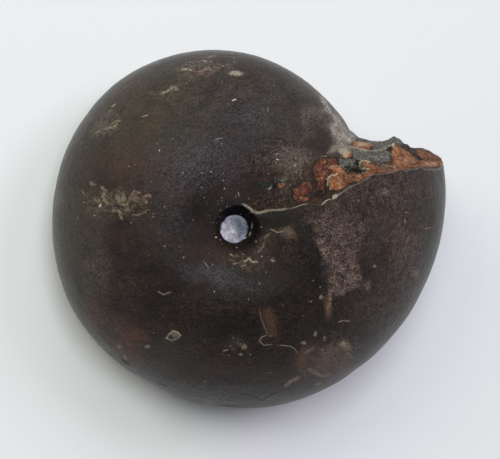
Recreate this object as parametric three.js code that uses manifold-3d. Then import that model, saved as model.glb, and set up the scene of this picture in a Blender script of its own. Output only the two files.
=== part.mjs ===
/**
 * A fossil ammonite: the natural stone cast of a smooth, thick, tightly coiled shell.
 * Each whorl wraps right over the one before it, so only the last whorl shows. It runs once
 * round the coil axis and ends in a rough break, where it steps down to the whorl beneath.
 * The whorl grows by a constant ratio for each turn, so its section keeps one shape and only
 * its size changes. Both flanks sink to a small pit at the navel, floored by a round plug.
 *
 * The shell is worked out about its own coil axis (Z, middle plane XY), then leaned on to
 * its lower flank, as it lies on a table, where it bears on a shallow rubbed flat.
 */
import * as THREE from 'three';
import { ParametricGeometry } from 'three/addons/geometries/ParametricGeometry.js';
import * as BufferGeometryUtils from 'three/addons/utils/BufferGeometryUtils.js';
import Module from 'manifold-3d';

const wasm = await Module();
wasm.setup();

// Coil, in millimetres. Shares are of the whorl's own outer radius.
const MOUTH_RADIUS = 31.55; // coil axis to belly, at the bearing of the broken mouth
const TURN_GROWTH = 1.527; // growth of the radius in one whole turn
const MOUTH_BEARING = 11.5; // degrees round from +X to the mouth
const UNEVEN_GROWTH = [ // cosine and sine share of 1, 2, 3 and 4 waves a turn
  [-0.0046, -0.0048],
  [-0.0154, 0.0088],
  [0.0061, 0.0038],
  [0.0056, -0.0029],
];

// Whorl section: a rounded superellipse that dips towards the navel.
const HALF_BREADTH_SHARE = 0.58;
const BELLY_POWER = 2.15;
const NAVEL_DIP_SHARE = 0.3;
const NAVEL_REACH_SHARE = 0.24;

// Pit at the navel, alike on both flanks.
const PLUG_RADIUS = 1.65;
const PIT_RADIUS = 2.9;
const PLUG_LEVEL = 7.4; // above and below the middle plane

// Break at the mouth. Its lip lies ahead of the mouth's bearing, by a length along the arc.
const LIP_LEAD = 2.2;
const LIP_LEAD_AT_BELLY = 1.2;
const LIP_TAPER_START = 24;
const LIP_BULGE = { radius: 21, spread: 5.2, height: 1.75 };
const FOOT_BEARING_AT_BELLY = 22.5; // degrees past the mouth where the break runs out
const FOOT_BEARING_GAIN = 40; // added towards the navel
const FOOT_BEARING_POWER = 2.6;
const SLOPE_AT_FLANK = 0.25; // share of the break that slopes evenly
const SLOPE_AT_BELLY = 0.8;

// Hollows and knobs of the break: place on it, reach and height.
const BREAK_RELIEF = [
  { radius: 22.5, level: -3, reach: [2.6, 6], height: -0.9 },
  { radius: 26.2, level: -2, reach: [1.1, 5], height: 0.9 },
  { radius: 21.5, level: 5, reach: [3.4, 3], height: -0.6 },
  { radius: 15.4, level: 11.5, reach: [1.6, 1.6], height: 0.8 },
  { radius: 10.8, level: 13, reach: [1.6, 1.4], height: 0.5 },
];

// Rest on the lower flank.
const REST_LEAN = 8.4; // degrees that the coil axis leans
const REST_LEAN_BEARING = 180; // degrees, the way that it leans
const RUB_DEPTH = 0.3; // height worn off the lowest point

// Steps of the surface.
const TURN_STEPS = 60;
const BREAK_STEPS = 10;
const FLANK_STEPS = 22; // from the navel to the belly, on each side

const TAU = 2 * Math.PI;
const GROWTH_RATE = Math.log(TURN_GROWTH) / TAU;
const MERGE_GAP = 1e-4;

/** Smooth step from 0 to 1 as x goes from 0 to 1. */
function smooth(x) {
  const t = THREE.MathUtils.clamp(x, 0, 1);
  return t * t * (3 - 2 * t);
}

/** Outer radius of the whorl, at an angle back from the mouth. */
function whorlRadius(back) {
  let wave = 1;
  UNEVEN_GROWTH.forEach(([cosine, sine], i) => {
    wave += cosine * Math.cos((i + 1) * back) + sine * Math.sin((i + 1) * back);
  });
  return MOUTH_RADIUS * Math.exp(-GROWTH_RATE * back) * wave;
}

/** Where the section reaches a radius share, as a parameter from 0, the axis, to 1, the belly. */
function sectionParameter(radiusShare) {
  return Math.asin(radiusShare ** (BELLY_POWER / 2)) / (Math.PI / 2);
}

/** Radius and height of the whorl section, as shares of its outer radius. */
function section(parameter) {
  const angle = parameter * Math.PI / 2;
  const radius = Math.sin(angle) ** (2 / BELLY_POWER);
  const dip = 1 - NAVEL_DIP_SHARE * Math.exp(-((radius / NAVEL_REACH_SHARE) ** 2));
  return { radius, height: HALF_BREADTH_SHARE * Math.cos(angle) * dip };
}

/** Section parameter at a step share from 0, the edge of the plug, to 1, the belly. */
function flankParameter(share, outerRadius) {
  const start = sectionParameter(PLUG_RADIUS / outerRadius);
  return start + (1 - start) * share ** 1.5;
}

/** Point of a whorl of one outer radius, at a bearing, with its pit sunk to the plug. */
function whorlPoint(share, side, outerRadius, bearing, target) {
  const plugShare = 1 / FLANK_STEPS;
  let radius = PLUG_RADIUS * share / plugShare;
  let level = PLUG_LEVEL;
  if (share > plugShare) {
    const flankShare = (share - plugShare) / (1 - plugShare);
    const { radius: r, height } = section(flankParameter(flankShare, outerRadius));
    radius = r * outerRadius;
    const wall = smooth((radius - PLUG_RADIUS) / (PIT_RADIUS - PLUG_RADIUS));
    level = THREE.MathUtils.lerp(PLUG_LEVEL, height * outerRadius, wall);
  }
  return target.set(radius * Math.cos(bearing), radius * Math.sin(bearing), side * level);
}

/** Angle ahead of the mouth's bearing at which the last whorl ends, on the break's lip. */
function lipAngle(share) {
  const radius = section(flankParameter(share, MOUTH_RADIUS)).radius * MOUTH_RADIUS;
  const taper = smooth((radius - LIP_TAPER_START) / (MOUTH_RADIUS - LIP_TAPER_START));
  const bulge = LIP_BULGE.height * Math.exp(-(((radius - LIP_BULGE.radius) / LIP_BULGE.spread) ** 2));
  const lead = THREE.MathUtils.lerp(LIP_LEAD, LIP_LEAD_AT_BELLY, taper) + bulge;
  return lead / Math.max(radius, PIT_RADIUS);
}

/** Angle ahead of the mouth's bearing at which the break runs out on the whorl beneath. */
function footAngle(share) {
  const parameter = flankParameter(share, MOUTH_RADIUS / TURN_GROWTH);
  const gain = FOOT_BEARING_GAIN * (1 - parameter) ** FOOT_BEARING_POWER;
  return THREE.MathUtils.degToRad(FOOT_BEARING_AT_BELLY + gain);
}

/** Height of the break's hollows and knobs at a point, forwards along the arc. */
function breakRelief(radius, level) {
  return BREAK_RELIEF.reduce((sum, mark) => {
    const across = (radius - mark.radius) / mark.reach[0];
    const up = (level - mark.level) / mark.reach[1];
    return sum + mark.height * Math.exp(-across * across - up * up);
  }, 0);
}

/** Side of the middle plane and step share, for a place across the whole section. */
function splitAcross(across) {
  return { side: across < 0.5 ? 1 : -1, share: 1 - Math.abs(2 * across - 1) };
}

/** Skin of the last whorl, back once round the coil from the lip to the foot of the break. */
function skinPoint(turn, across, target) {
  const { side, share } = splitAcross(across);
  const back = THREE.MathUtils.lerp(-lipAngle(share), TAU - footAngle(share), turn);
  const bearing = THREE.MathUtils.degToRad(MOUTH_BEARING) - back;
  return whorlPoint(share, side, whorlRadius(back), bearing, target);
}

/** Surface of the break, from the lip of the last whorl down to the whorl beneath. */
function breakPoint(down, across, target) {
  const { side, share } = splitAcross(across);
  const lip = lipAngle(share);
  const foot = footAngle(share);
  const outer = THREE.MathUtils.lerp(whorlRadius(-lip), whorlRadius(TAU - foot), down);
  const even = THREE.MathUtils.lerp(SLOPE_AT_FLANK, SLOPE_AT_BELLY, smooth(2 * share - 0.9));
  const slope = even * down + (1 - even) * down ** 3;
  const bearing = THREE.MathUtils.degToRad(MOUTH_BEARING) + THREE.MathUtils.lerp(lip, foot, slope);
  whorlPoint(share, side, outer, bearing, target);
  const radius = Math.max(Math.hypot(target.x, target.y), PIT_RADIUS);
  const turn = breakRelief(radius, target.z) * Math.sin(Math.PI * down) / radius;
  return target.applyAxisAngle(new THREE.Vector3(0, 0, 1), turn);
}

/** Position-only geometry with shared vertices and without the triangles that fell to a line. */
function weld(geometries) {
  geometries.forEach((geometry) => {
    geometry.deleteAttribute('normal');
    geometry.deleteAttribute('uv');
  });
  const joined = BufferGeometryUtils.mergeGeometries(geometries);
  const welded = BufferGeometryUtils.mergeVertices(joined, MERGE_GAP);
  const corners = welded.index.array;
  const kept = [];
  for (let i = 0; i < corners.length; i += 3) {
    const [a, b, c] = corners.slice(i, i + 3);
    if (a !== b && b !== c && c !== a) kept.push(a, b, c);
  }
  welded.setIndex(kept);
  return welded;
}

/** Closed solid of a welded geometry. */
function solidOf(geometry) {
  return new wasm.Manifold(new wasm.Mesh({
    numProp: 3,
    vertProperties: new Float32Array(geometry.attributes.position.array),
    triVerts: new Uint32Array(geometry.index.array),
  }));
}

/** Geometry of a closed solid. */
function geometryOf(solid) {
  const mesh = solid.getMesh();
  const geometry = new THREE.BufferGeometry();
  geometry.setAttribute('position', new THREE.BufferAttribute(mesh.vertProperties, 3));
  geometry.setIndex(new THREE.BufferAttribute(mesh.triVerts, 1));
  return geometry;
}

/** The whole cast about its own coil axis: skin, break and both plugs in one closed skin. */
function coilGeometry() {
  const skin = new ParametricGeometry(skinPoint, TURN_STEPS, 2 * FLANK_STEPS);
  const broken = new ParametricGeometry(
    (back, across, target) => breakPoint(1 - back, across, target),
    BREAK_STEPS,
    2 * FLANK_STEPS,
  );
  return weld([skin, broken]);
}

/** Lean the coil on to its lower flank and centre it over the table, lowest point at zero. */
function layDown(geometry) {
  const bearing = THREE.MathUtils.degToRad(REST_LEAN_BEARING);
  const hinge = new THREE.Vector3(-Math.sin(bearing), Math.cos(bearing), 0);
  const lean = THREE.MathUtils.degToRad(REST_LEAN);
  geometry.applyMatrix4(new THREE.Matrix4().makeRotationAxis(hinge, lean));
  geometry.computeBoundingBox();
  const centre = geometry.boundingBox.getCenter(new THREE.Vector3());
  return geometry.translate(-centre.x, -centre.y, -geometry.boundingBox.min.z);
}

/** Wear the lowest part of a solid off flat, and set the flat at zero. */
function rubFlat(geometry) {
  const block = new THREE.BoxGeometry(4 * MOUTH_RADIUS, 4 * MOUTH_RADIUS, 2 * MOUTH_RADIUS);
  block.translate(0, 0, RUB_DEPTH - MOUTH_RADIUS);
  const worn = solidOf(geometry).subtract(solidOf(weld([block])));
  return geometryOf(worn).translate(0, 0, -RUB_DEPTH);
}

/** The fossil, one piece of stone. */
function makeAmmonite() {
  const stone = new THREE.MeshStandardMaterial({
    color: new THREE.Color().setRGB(0.24, 0.2, 0.18, THREE.SRGBColorSpace),
    roughness: 0.45,
    metalness: 0,
  });
  const ammonite = new THREE.Mesh(rubFlat(layDown(coilGeometry())), stone);
  ammonite.name = 'ammonite';
  return ammonite;
}

const fossil = new THREE.Group();
fossil.add(makeAmmonite());

export default fossil;
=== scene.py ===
"""A fossil ammonite, lying on its flank on pale paper.

The fossil is one stone: a smooth, thick, tightly coiled shell turned to dark brown stone, and
broken across its last whorl. Its skin and its break are worked out about the coil axis from a
few growth ratios, then leaned on to the flank that it rests on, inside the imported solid.

The fossil's own relief and marks are placed on its plan, the plane through the middle of the
coil that faces the camera, in millimetres: x towards the mouth, y away from the belly.
"""
import logging
import math
from dataclasses import dataclass, field, replace
from enum import Enum
from functools import cached_property
from typing import ClassVar

import bmesh
import bpy
import numpy as np
from mathutils import Matrix, Vector, noise


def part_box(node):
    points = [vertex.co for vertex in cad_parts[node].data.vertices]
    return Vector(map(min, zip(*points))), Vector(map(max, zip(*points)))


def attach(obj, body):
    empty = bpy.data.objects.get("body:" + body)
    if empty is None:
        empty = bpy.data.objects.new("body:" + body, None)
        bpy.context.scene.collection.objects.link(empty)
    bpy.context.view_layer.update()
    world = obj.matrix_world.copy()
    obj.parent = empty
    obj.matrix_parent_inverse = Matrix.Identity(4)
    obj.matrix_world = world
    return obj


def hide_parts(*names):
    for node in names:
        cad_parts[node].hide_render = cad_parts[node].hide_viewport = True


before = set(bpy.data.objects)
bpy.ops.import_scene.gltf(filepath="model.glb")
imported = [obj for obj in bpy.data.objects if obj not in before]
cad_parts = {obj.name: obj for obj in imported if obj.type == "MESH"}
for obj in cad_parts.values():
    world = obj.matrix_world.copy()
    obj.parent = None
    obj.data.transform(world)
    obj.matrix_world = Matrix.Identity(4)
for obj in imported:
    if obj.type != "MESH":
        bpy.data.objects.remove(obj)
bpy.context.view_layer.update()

MM = 0.001
TAU = 2 * math.pi
NOISE_SEED = 1795483429
LOG = logging.getLogger("ammonite")

Array = np.ndarray
Socket = bpy.types.NodeSocket
Node = bpy.types.Node
Colour = tuple[float, float, float, float]
Corners = tuple[tuple[float, float], ...]


def smooth(value: Array) -> Array:
    """Return a smooth step from 0 to 1 as the value goes from 0 to 1."""
    step = np.clip(value, 0.0, 1.0)
    return step * step * (3.0 - 2.0 * step)


def mix(low: Array, high: Array, share: Array) -> Array:
    """Return the value a share of the way from low to high."""
    return low + (high - low) * share


def linear(share: float) -> float:
    """Return the linear value of a display value, both from 0 to 1."""
    return ((share + 0.055) / 1.055) ** 2.4 if share > 0.04 else share / 12.92


def tint(red: int, green: int, blue: int) -> Colour:
    """Return an opaque linear colour from display values of 0 to 255."""
    return (linear(red / 255), linear(green / 255), linear(blue / 255), 1.0)


# The form of the coil and of its break.


class Side(Enum):
    """The two flanks of the coil."""

    UPPER = 1.0
    LOWER = -1.0


@dataclass(frozen=True)
class Swell:
    """A gentle rise or dip along one direction, such as a bearing or a radius."""

    middle: float
    spread: float
    height: float

    def at(self, place: Array) -> Array:
        """Return the height at each place."""
        return self.height * np.exp(-(((place - self.middle) / self.spread) ** 2))


@dataclass(frozen=True)
class Coil:
    """Growth of the shell about its own axis, Z: radius, whorl section and navel pit.

    The uneven growth is a cosine and a sine share of the radius for one, two, three and four
    waves a turn. Lengths are in millimetres.
    """

    mouth_radius: float = 31.55
    turn_growth: float = 1.527
    mouth_bearing: float = math.radians(11.5)
    uneven_growth: tuple[tuple[float, float], ...] = (
        (-0.0046, -0.0048),
        (-0.0154, 0.0088),
        (0.0061, 0.0038),
        (0.0056, -0.0029),
    )
    half_breadth_share: float = 0.58
    belly_power: float = 2.15
    navel_dip_share: float = 0.30
    navel_reach_share: float = 0.24
    flank_power: float = 1.5
    plug_radius: float = 1.9
    plug_shift: tuple[float, float] = (0.0, -1.05)
    plug_level: float = 7.6
    plug_depth: float = 0.5
    plug_share: float = 0.06
    plug_edge: float = 1.25
    plug_edge_width: float = 0.3
    pit_radius: float = 2.7
    pit_shift: tuple[float, float] = (0.0, 0.15)
    pit_reach: float = 8.0

    def outer_radius(self, back: Array) -> Array:
        """Return the whorl's outer radius.

        Args:
            back: Angles back from the mouth.

        Returns:
            The radius at each angle.
        """
        rate = math.log(self.turn_growth) / TAU
        wave = 1.0
        for count, (cosine, sine) in enumerate(self.uneven_growth, 1):
            wave = wave + cosine * np.cos(count * back) + sine * np.sin(count * back)
        return self.mouth_radius * np.exp(-rate * back) * wave

    def section(self, parameter: Array) -> tuple[Array, Array]:
        """Return the whorl section as shares of its outer radius.

        Args:
            parameter: 0 at the coil axis to 1 at the belly.

        Returns:
            The radius from the axis, and the height above the middle plane.
        """
        angle = parameter * math.pi / 2
        radius = np.sin(angle) ** (2 / self.belly_power)
        dip = 1 - self.navel_dip_share * np.exp(-((radius / self.navel_reach_share) ** 2))
        return radius, self.half_breadth_share * np.cos(angle) * dip

    def on_plug(self, points: Array) -> Array:
        """Return how much points belong to the plug at the bottom of the pit.

        Args:
            points: Points about the coil's centre.

        Returns:
            A share for each point, from 0 to 1.
        """
        along, up = self.plug_shift
        away = np.hypot(points[:, 0] - along, points[:, 1] - up) / self.plug_radius
        above = (np.abs(points[:, 2]) - self.plug_level) / self.plug_depth
        return smooth((self.plug_edge - away) / self.plug_edge_width) * smooth(1 - above)

    def flank_parameter(self, share: Array, outer: Array) -> Array:
        """Return the section parameter of places on a flank.

        Args:
            share: 0 at the coil axis to 1 at the belly.
            outer: Outer radius of the whorl there.

        Returns:
            The parameter, which starts at the edge of the plug.
        """
        past_plug = np.clip((share - self.plug_share) / (1 - self.plug_share), 0.0, 1.0)
        start = np.arcsin((self.plug_radius / outer) ** (self.belly_power / 2)) / (math.pi / 2)
        return start + (1 - start) * past_plug**self.flank_power

    def place(self, share: Array, side: Side, outer: Array, bearing: Array) -> Array:
        """Return points of whorls, with their pit sunk to the plug.

        Args:
            share: 0 at the coil axis to 1 at the belly.
            side: The flank that the points lie on.
            outer: Outer radius of the whorl at each point.
            bearing: Angle round the coil axis from +X.

        Returns:
            The points, in millimetres about the coil's centre.
        """
        radius, height = self.section(self.flank_parameter(share, outer))
        on_plug = share <= self.plug_share
        radius = np.where(on_plug, self.plug_radius * share / self.plug_share, radius * outer)
        wall = smooth((radius - self.plug_radius) / (self.pit_radius - self.plug_radius))
        level = mix(self.plug_level, height * outer, wall)
        near = 1 - smooth((radius - self.pit_radius) / (self.pit_reach - self.pit_radius))
        along, up = (
            pit * near + plug * (1 - wall) for pit, plug in zip(self.pit_shift, self.plug_shift)
        )
        return np.stack(
            [radius * np.cos(bearing) + along, radius * np.sin(bearing) + up, side.value * level],
            axis=-1,
        )


@dataclass(frozen=True)
class Break:
    """The rough break across the last whorl, from its lip down to the whorl beneath.

    The lip leads the mouth's bearing by a length, with nicks along its radius. The foot leads
    it by an angle. In between, the face slopes and sinks more evenly at the belly.
    """

    coil: Coil = Coil()
    lip_lead: float = 2.2
    lip_lead_at_belly: float = 1.2
    lip_taper_start: float = 24
    lip_nicks: tuple[Swell, ...] = (
        Swell(21, 5.2, 1.75),
        Swell(5.5, 2.6, -0.38),
        Swell(9.4, 0.8, 0.12),
        Swell(11.5, 0.8, -0.5),
        Swell(13.5, 0.7, -0.25),
        Swell(16.0, 1.8, 0.33),
        Swell(19.5, 0.6, 0.2),
        Swell(22.0, 1.5, -0.35),
        Swell(24.7, 0.4, -0.2),
        Swell(27.0, 0.6, 0.35),
        Swell(30.4, 1.0, -0.4),
    )
    foot_at_belly: float = math.radians(22.5)
    foot_gain: float = math.radians(40)
    foot_power: float = 2.6
    belly_start: float = 0.45
    belly_width: float = 0.5
    slope_at_flank: float = 0.25
    slope_at_belly: float = 0.8
    slope_power: float = 3
    sink_power_at_flank: float = 2.0
    sink_power_at_belly: float = 1.15

    def lip_angle(self, share: Array) -> Array:
        """Return the angle ahead of the mouth's bearing at which the last whorl ends.

        Args:
            share: 0 at the coil axis to 1 at the belly.

        Returns:
            The angle at each share.
        """
        coil = self.coil
        radius, _ = coil.section(coil.flank_parameter(share, coil.mouth_radius))
        radius = radius * coil.mouth_radius
        taper = smooth((radius - self.lip_taper_start) / (coil.mouth_radius - self.lip_taper_start))
        lead = mix(self.lip_lead, self.lip_lead_at_belly, taper)
        lead = lead + sum(nick.at(radius) for nick in self.lip_nicks)
        return lead / np.maximum(radius, coil.pit_radius)

    def foot_angle(self, share: Array) -> Array:
        """Return the angle ahead of the mouth's bearing at which the break runs out.

        Args:
            share: 0 at the coil axis to 1 at the belly.

        Returns:
            The angle at each share.
        """
        coil = self.coil
        parameter = coil.flank_parameter(share, coil.mouth_radius / coil.turn_growth)
        return self.foot_at_belly + self.foot_gain * (1 - parameter) ** self.foot_power

    def skin(self, turn: Array, share: Array, side: Side) -> Array:
        """Return points of the last whorl's skin.

        Args:
            turn: 0 at the lip, back round the coil to 1 at the foot.
            share: 0 at the coil axis to 1 at the belly.
            side: The flank that the points lie on.

        Returns:
            The points about the coil's centre.
        """
        back = mix(-self.lip_angle(share), TAU - self.foot_angle(share), turn)
        outer = self.coil.outer_radius(back)
        return self.coil.place(share, side, outer, self.coil.mouth_bearing - back)

    def face(self, down: Array, share: Array, side: Side) -> Array:
        """Return points of the broken face.

        Args:
            down: 0 at the lip to 1 at the foot.
            share: 0 at the coil axis to 1 at the belly.
            side: The flank that the points lie on.

        Returns:
            The points about the coil's centre.
        """
        coil = self.coil
        lip = self.lip_angle(share)
        foot = self.foot_angle(share)
        belly = smooth((share - self.belly_start) / self.belly_width)
        even = mix(self.slope_at_flank, self.slope_at_belly, belly)
        slope = even * down + (1 - even) * down**self.slope_power
        sunk = 1 - (1 - down) ** mix(self.sink_power_at_flank, self.sink_power_at_belly, belly)
        outer = mix(coil.outer_radius(-lip), coil.outer_radius(TAU - foot), sunk)
        return coil.place(share, side, outer, coil.mouth_bearing + mix(lip, foot, slope))


@dataclass(frozen=True)
class Sight:
    """The line along which the flank is seen, which sets the fossil's plan and the camera."""

    distance: float = 350
    lean: float = math.radians(12.0)
    lean_bearing: float = math.radians(-59.3)

    def turn(self) -> Matrix:
        """Return the turn from the coil's own frame to the eye's: right, up, towards the eye."""
        hinge = Vector((-math.sin(self.lean_bearing), math.cos(self.lean_bearing), 0.0))
        return Matrix.Rotation(self.lean, 3, hinge)

    def plan(self, points: Array) -> Array:
        """Return the places on the plan of points.

        Args:
            points: Points about the coil's centre.

        Returns:
            The x and y of each point on the plan.
        """
        seen = points @ np.array(self.turn()).T
        spread = self.distance / (self.distance - seen[:, 2])
        return seen[:, :2] * spread[:, None]


# Marks on the plan: ovals, lines and scales.


@dataclass(frozen=True)
class Spot:
    """A soft-edged oval on the plan, with a strength or a height.

    Its turn is in degrees, and its soft edge is a share of its half size.
    """

    x: float
    y: float
    long: float
    short: float
    turn: float = 0.0
    strength: float = 1.0
    edge: float = 0.6

    def own_place(self, plan: Array) -> tuple[Array, Array]:
        """Return places as shares of the oval's half sizes.

        Args:
            plan: Places on the plan.

        Returns:
            Each place along the oval, and across it.
        """
        angle = math.radians(self.turn)
        dx = plan[:, 0] - self.x
        dy = plan[:, 1] - self.y
        along = (dx * math.cos(angle) + dy * math.sin(angle)) / self.long
        across = (dy * math.cos(angle) - dx * math.sin(angle)) / self.short
        return along, across

    def cover(self, plan: Array) -> Array:
        """Return the spot's strength at each place of the plan."""
        away = np.hypot(*self.own_place(plan))
        return self.strength * smooth((1 + self.edge - away) / (2 * self.edge))

    def gap(self, plan: Array) -> Array:
        """Return how far places are from the oval.

        Args:
            plan: Places on the plan.

        Returns:
            The distances, in millimetres, 0 on the oval.
        """
        along, across = self.own_place(plan)
        width = min(self.long, self.short)
        past_end = np.maximum(np.abs(along) * self.long - (self.long - width), 0.0)
        past_side = np.maximum(np.abs(across) * self.short - (self.short - width), 0.0)
        return np.maximum(np.hypot(past_end, past_side) - width, 0.0)

    def ovals(self) -> list["Spot"]:
        """Return the ovals that the spot is drawn with."""
        return [self]


def run_distance(plan: Array, corners: Corners, closed: bool) -> Array:
    """Return how far each place of the plan is from a run of straight stretches.

    Args:
        plan: Places on the plan.
        corners: The run's corners, in order.
        closed: Whether the last corner joins the first.

    Returns:
        The distances, in millimetres.
    """
    ends = corners[1:] + corners[:1] if closed else corners[1:]
    nearest = np.full(len(plan), np.inf)
    for start, end in zip(np.array(corners), np.array(ends)):
        step = end - start
        share = np.clip((plan - start) @ step / (step @ step), 0.0, 1.0)
        away = plan - start - share[:, None] * step
        nearest = np.minimum(nearest, np.hypot(away[:, 0], away[:, 1]))
    return nearest


@dataclass(frozen=True)
class Seam:
    """A crest or a crack that runs along a few corners on the plan."""

    corners: Corners
    width: float
    strength: float = 1.0
    oval_length: float = 0.55
    oval_overlap: float = 0.4
    oval_edge: float = 0.45

    def cover(self, plan: Array) -> Array:
        """Return the seam's strength at each place of the plan."""
        away = run_distance(plan, self.corners, closed=False)
        return self.strength * smooth(1 - away / self.width)

    def ovals(self) -> list[Spot]:
        """Return the slender ovals that the seam is drawn with.

        Returns:
            One oval for each stretch, end to end.
        """
        drawn = []
        for (x0, y0), (x1, y1) in zip(self.corners, self.corners[1:]):
            reach = math.hypot(x1 - x0, y1 - y0) * self.oval_length + self.width * self.oval_overlap
            turn = math.degrees(math.atan2(y1 - y0, x1 - x0))
            middle = ((x0 + x1) / 2, (y0 + y1) / 2)
            drawn.append(Spot(*middle, reach, self.width, turn, self.strength, self.oval_edge))
        return drawn


Marks = tuple[Spot | Seam, ...]


@dataclass(frozen=True)
class Scale:
    """A scale of mineral on the break: a raised patch with a steep edge.

    Its lift is in millimetres, its redness goes from pale orange (0) to dark red (1), and its
    highlight strength sets a pale line painted along its edge as highlight, strongest towards a bearing
    in degrees. The crevice round it gets painted shade.
    """

    corners: Corners
    lift: float
    redness: float
    edge: float = 0.22
    crown: float = 0.5
    scale_edge_shade_width: float = 0.17
    edge_highlight: float = 0.0
    edge_highlight_bearing: float = 150
    edge_highlight_width: float = 0.13

    def inside(self, plan: Array) -> Array:
        """Return how far inside the outline places are.

        Args:
            plan: Places on the plan.

        Returns:
            The distances from the outline, negative outside it.
        """
        away = run_distance(plan, self.corners, closed=True)
        odd = np.zeros(len(plan), dtype=bool)
        x, y = plan[:, 0], plan[:, 1]
        for (x0, y0), (x1, y1) in zip(self.corners, self.corners[1:] + self.corners[:1]):
            if y0 != y1:
                crosses = ((y0 > y) != (y1 > y)) & (x < (x1 - x0) * (y - y0) / (y1 - y0) + x0)
                odd ^= crosses
        return np.where(odd, away, -away)

    def cover(self, inside: Array) -> Array:
        """Return 1 on the scale and 0 off it, with a narrow edge."""
        return smooth(0.5 + inside / self.edge)

    def height(self, inside: Array) -> Array:
        """Return how far the scale stands up, crowned towards its middle."""
        crown = 1 + self.crown * smooth(inside / (4 * self.edge))
        return self.lift * self.cover(inside) * crown

    def outline(self, inside: Array) -> Array:
        """Return the strength of the painted shade in the crevice round the scale."""
        return np.exp(-((inside / self.scale_edge_shade_width) ** 2))

    def edge_highlight_cover(self, plan: Array, inside: Array) -> Array:
        """Return the strength of the painted highlight along the scale's edge.

        Args:
            plan: Places on the plan.
            inside: How far inside the outline they are.

        Returns:
            The strength at each place, most towards the rim's bearing.
        """
        out = plan - np.mean(self.corners, axis=0)
        facing = math.radians(self.edge_highlight_bearing)
        towards = out @ np.array([math.cos(facing), math.sin(facing)])
        towards = towards / np.maximum(np.hypot(out[:, 0], out[:, 1]), 1e-6)
        line = smooth(1.3 - np.abs(inside) / self.edge_highlight_width)
        return self.edge_highlight * line * smooth(towards * 2 + 0.3)


@dataclass(frozen=True)
class FleckLayers:
    """Fine marks shared out among layers, so that a vertex needs to know only its nearest one.

    In a layer no fleck comes nearer than the clearance to another. Each vertex keeps its own
    place in its nearest fleck's oval, the fleck's strength and the fleck's tone. The surface
    between vertices then has the oval's exact outline, however far apart the vertices are.
    """

    clearance: float = 2.1
    reach: float = 0.75

    def share_out(self, flecks: list[tuple[Spot, float]], plan: Array) -> list[Array]:
        """Return the layers.

        Args:
            flecks: The flecks, each with its tone.
            plan: The vertices' places on the plan.

        Returns:
            One array a layer, with the four numbers of each vertex.
        """
        gaps: list[Array] = []
        layers: list[Array] = []
        for spot, tone in flecks:
            gap = spot.gap(plan)
            free = (index for index, taken in enumerate(gaps) if (taken + gap).min() > self.clearance)
            index = next(free, len(layers))
            if index == len(layers):
                gaps.append(np.full(len(plan), np.inf))
                layers.append(np.zeros((len(plan), 4)))
            nearest = gap < gaps[index]
            strength = spot.strength * (gap < self.reach)
            notes = np.column_stack([*spot.own_place(plan), strength, np.full(len(plan), tone)])
            layers[index][nearest] = notes[nearest]
            gaps[index] = np.minimum(gaps[index], gap)
        return layers


def strongest(marks: Marks, plan: Array) -> Array:
    """Return the strongest cover that any of the marks gives.

    Args:
        marks: The marks.
        plan: Places on the plan.

    Returns:
        The cover at each place.
    """
    total = np.zeros(len(plan))
    for mark in marks:
        total = np.maximum(total, mark.cover(plan))
    return total


def summed(marks: Marks, plan: Array) -> Array:
    """Return the sum of the marks' strengths at each place."""
    return sum(mark.cover(plan) for mark in marks)


@dataclass(frozen=True)
class SkinRelief:
    """The flats and dents of the skin."""

    flats: tuple[Swell, ...] = (
        Swell(68, 18, 0.2), Swell(110, 17, -0.26), Swell(158, 12, 0.12),
        Swell(212, 9, 0.16), Swell(245, 7, -0.42), Swell(266, 8, -0.18),
        Swell(309, 3, -0.14), Swell(331, 5, 0.06),
    )
    flats_fade: tuple[float, float] = (12.0, 24.0)
    dents: Marks = (
        Spot(-9.1, -11.4, 1.5, 0.8, 5, -0.1), Spot(0.7, -18.9, 1.5, 1.1, 0, -0.16),
        Spot(-17.5, 3, 3, 2, 0, -0.1), Spot(9, 14, 3, 2, 0, -0.08), Spot(-7.5, 8, 4, 3, 0, 0.08),
        Spot(14.9, -20.4, 2.6, 2.2, 40, 0.14), Spot(6, -15.6, 1, 1.9, 14, 0.1, 0.3),
        Spot(10.3, -20.7, 0.9, 1.4, -15, 0.08, 0.3), Spot(-7.9, -17.5, 1, 0.7, 20, 0.1, 0.3),
        Spot(1, 19.7, 0.85, 0.35, -3, 0.1, 0.3), Spot(-16.2, 11.2, 0.8, 0.5, 0, -0.1, 0.5),
        Spot(17.9, 11.3, 3, 1.1, -12, -0.15), Spot(-24.4, 1.9, 0.6, 0.9, 0, -0.12),
    )

    def flattening(self, points: Array) -> Array:
        """Return the heights of the outline's flats and bulges.

        Args:
            points: Points about the coil's centre.

        Returns:
            The height at each point.
        """
        bearing = np.degrees(np.arctan2(points[:, 1], points[:, 0])) % 360
        start, end = self.flats_fade
        reach = smooth((np.hypot(points[:, 0], points[:, 1]) - start) / (end - start))
        return sum(flat.at(bearing) for flat in self.flats) * reach


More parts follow.
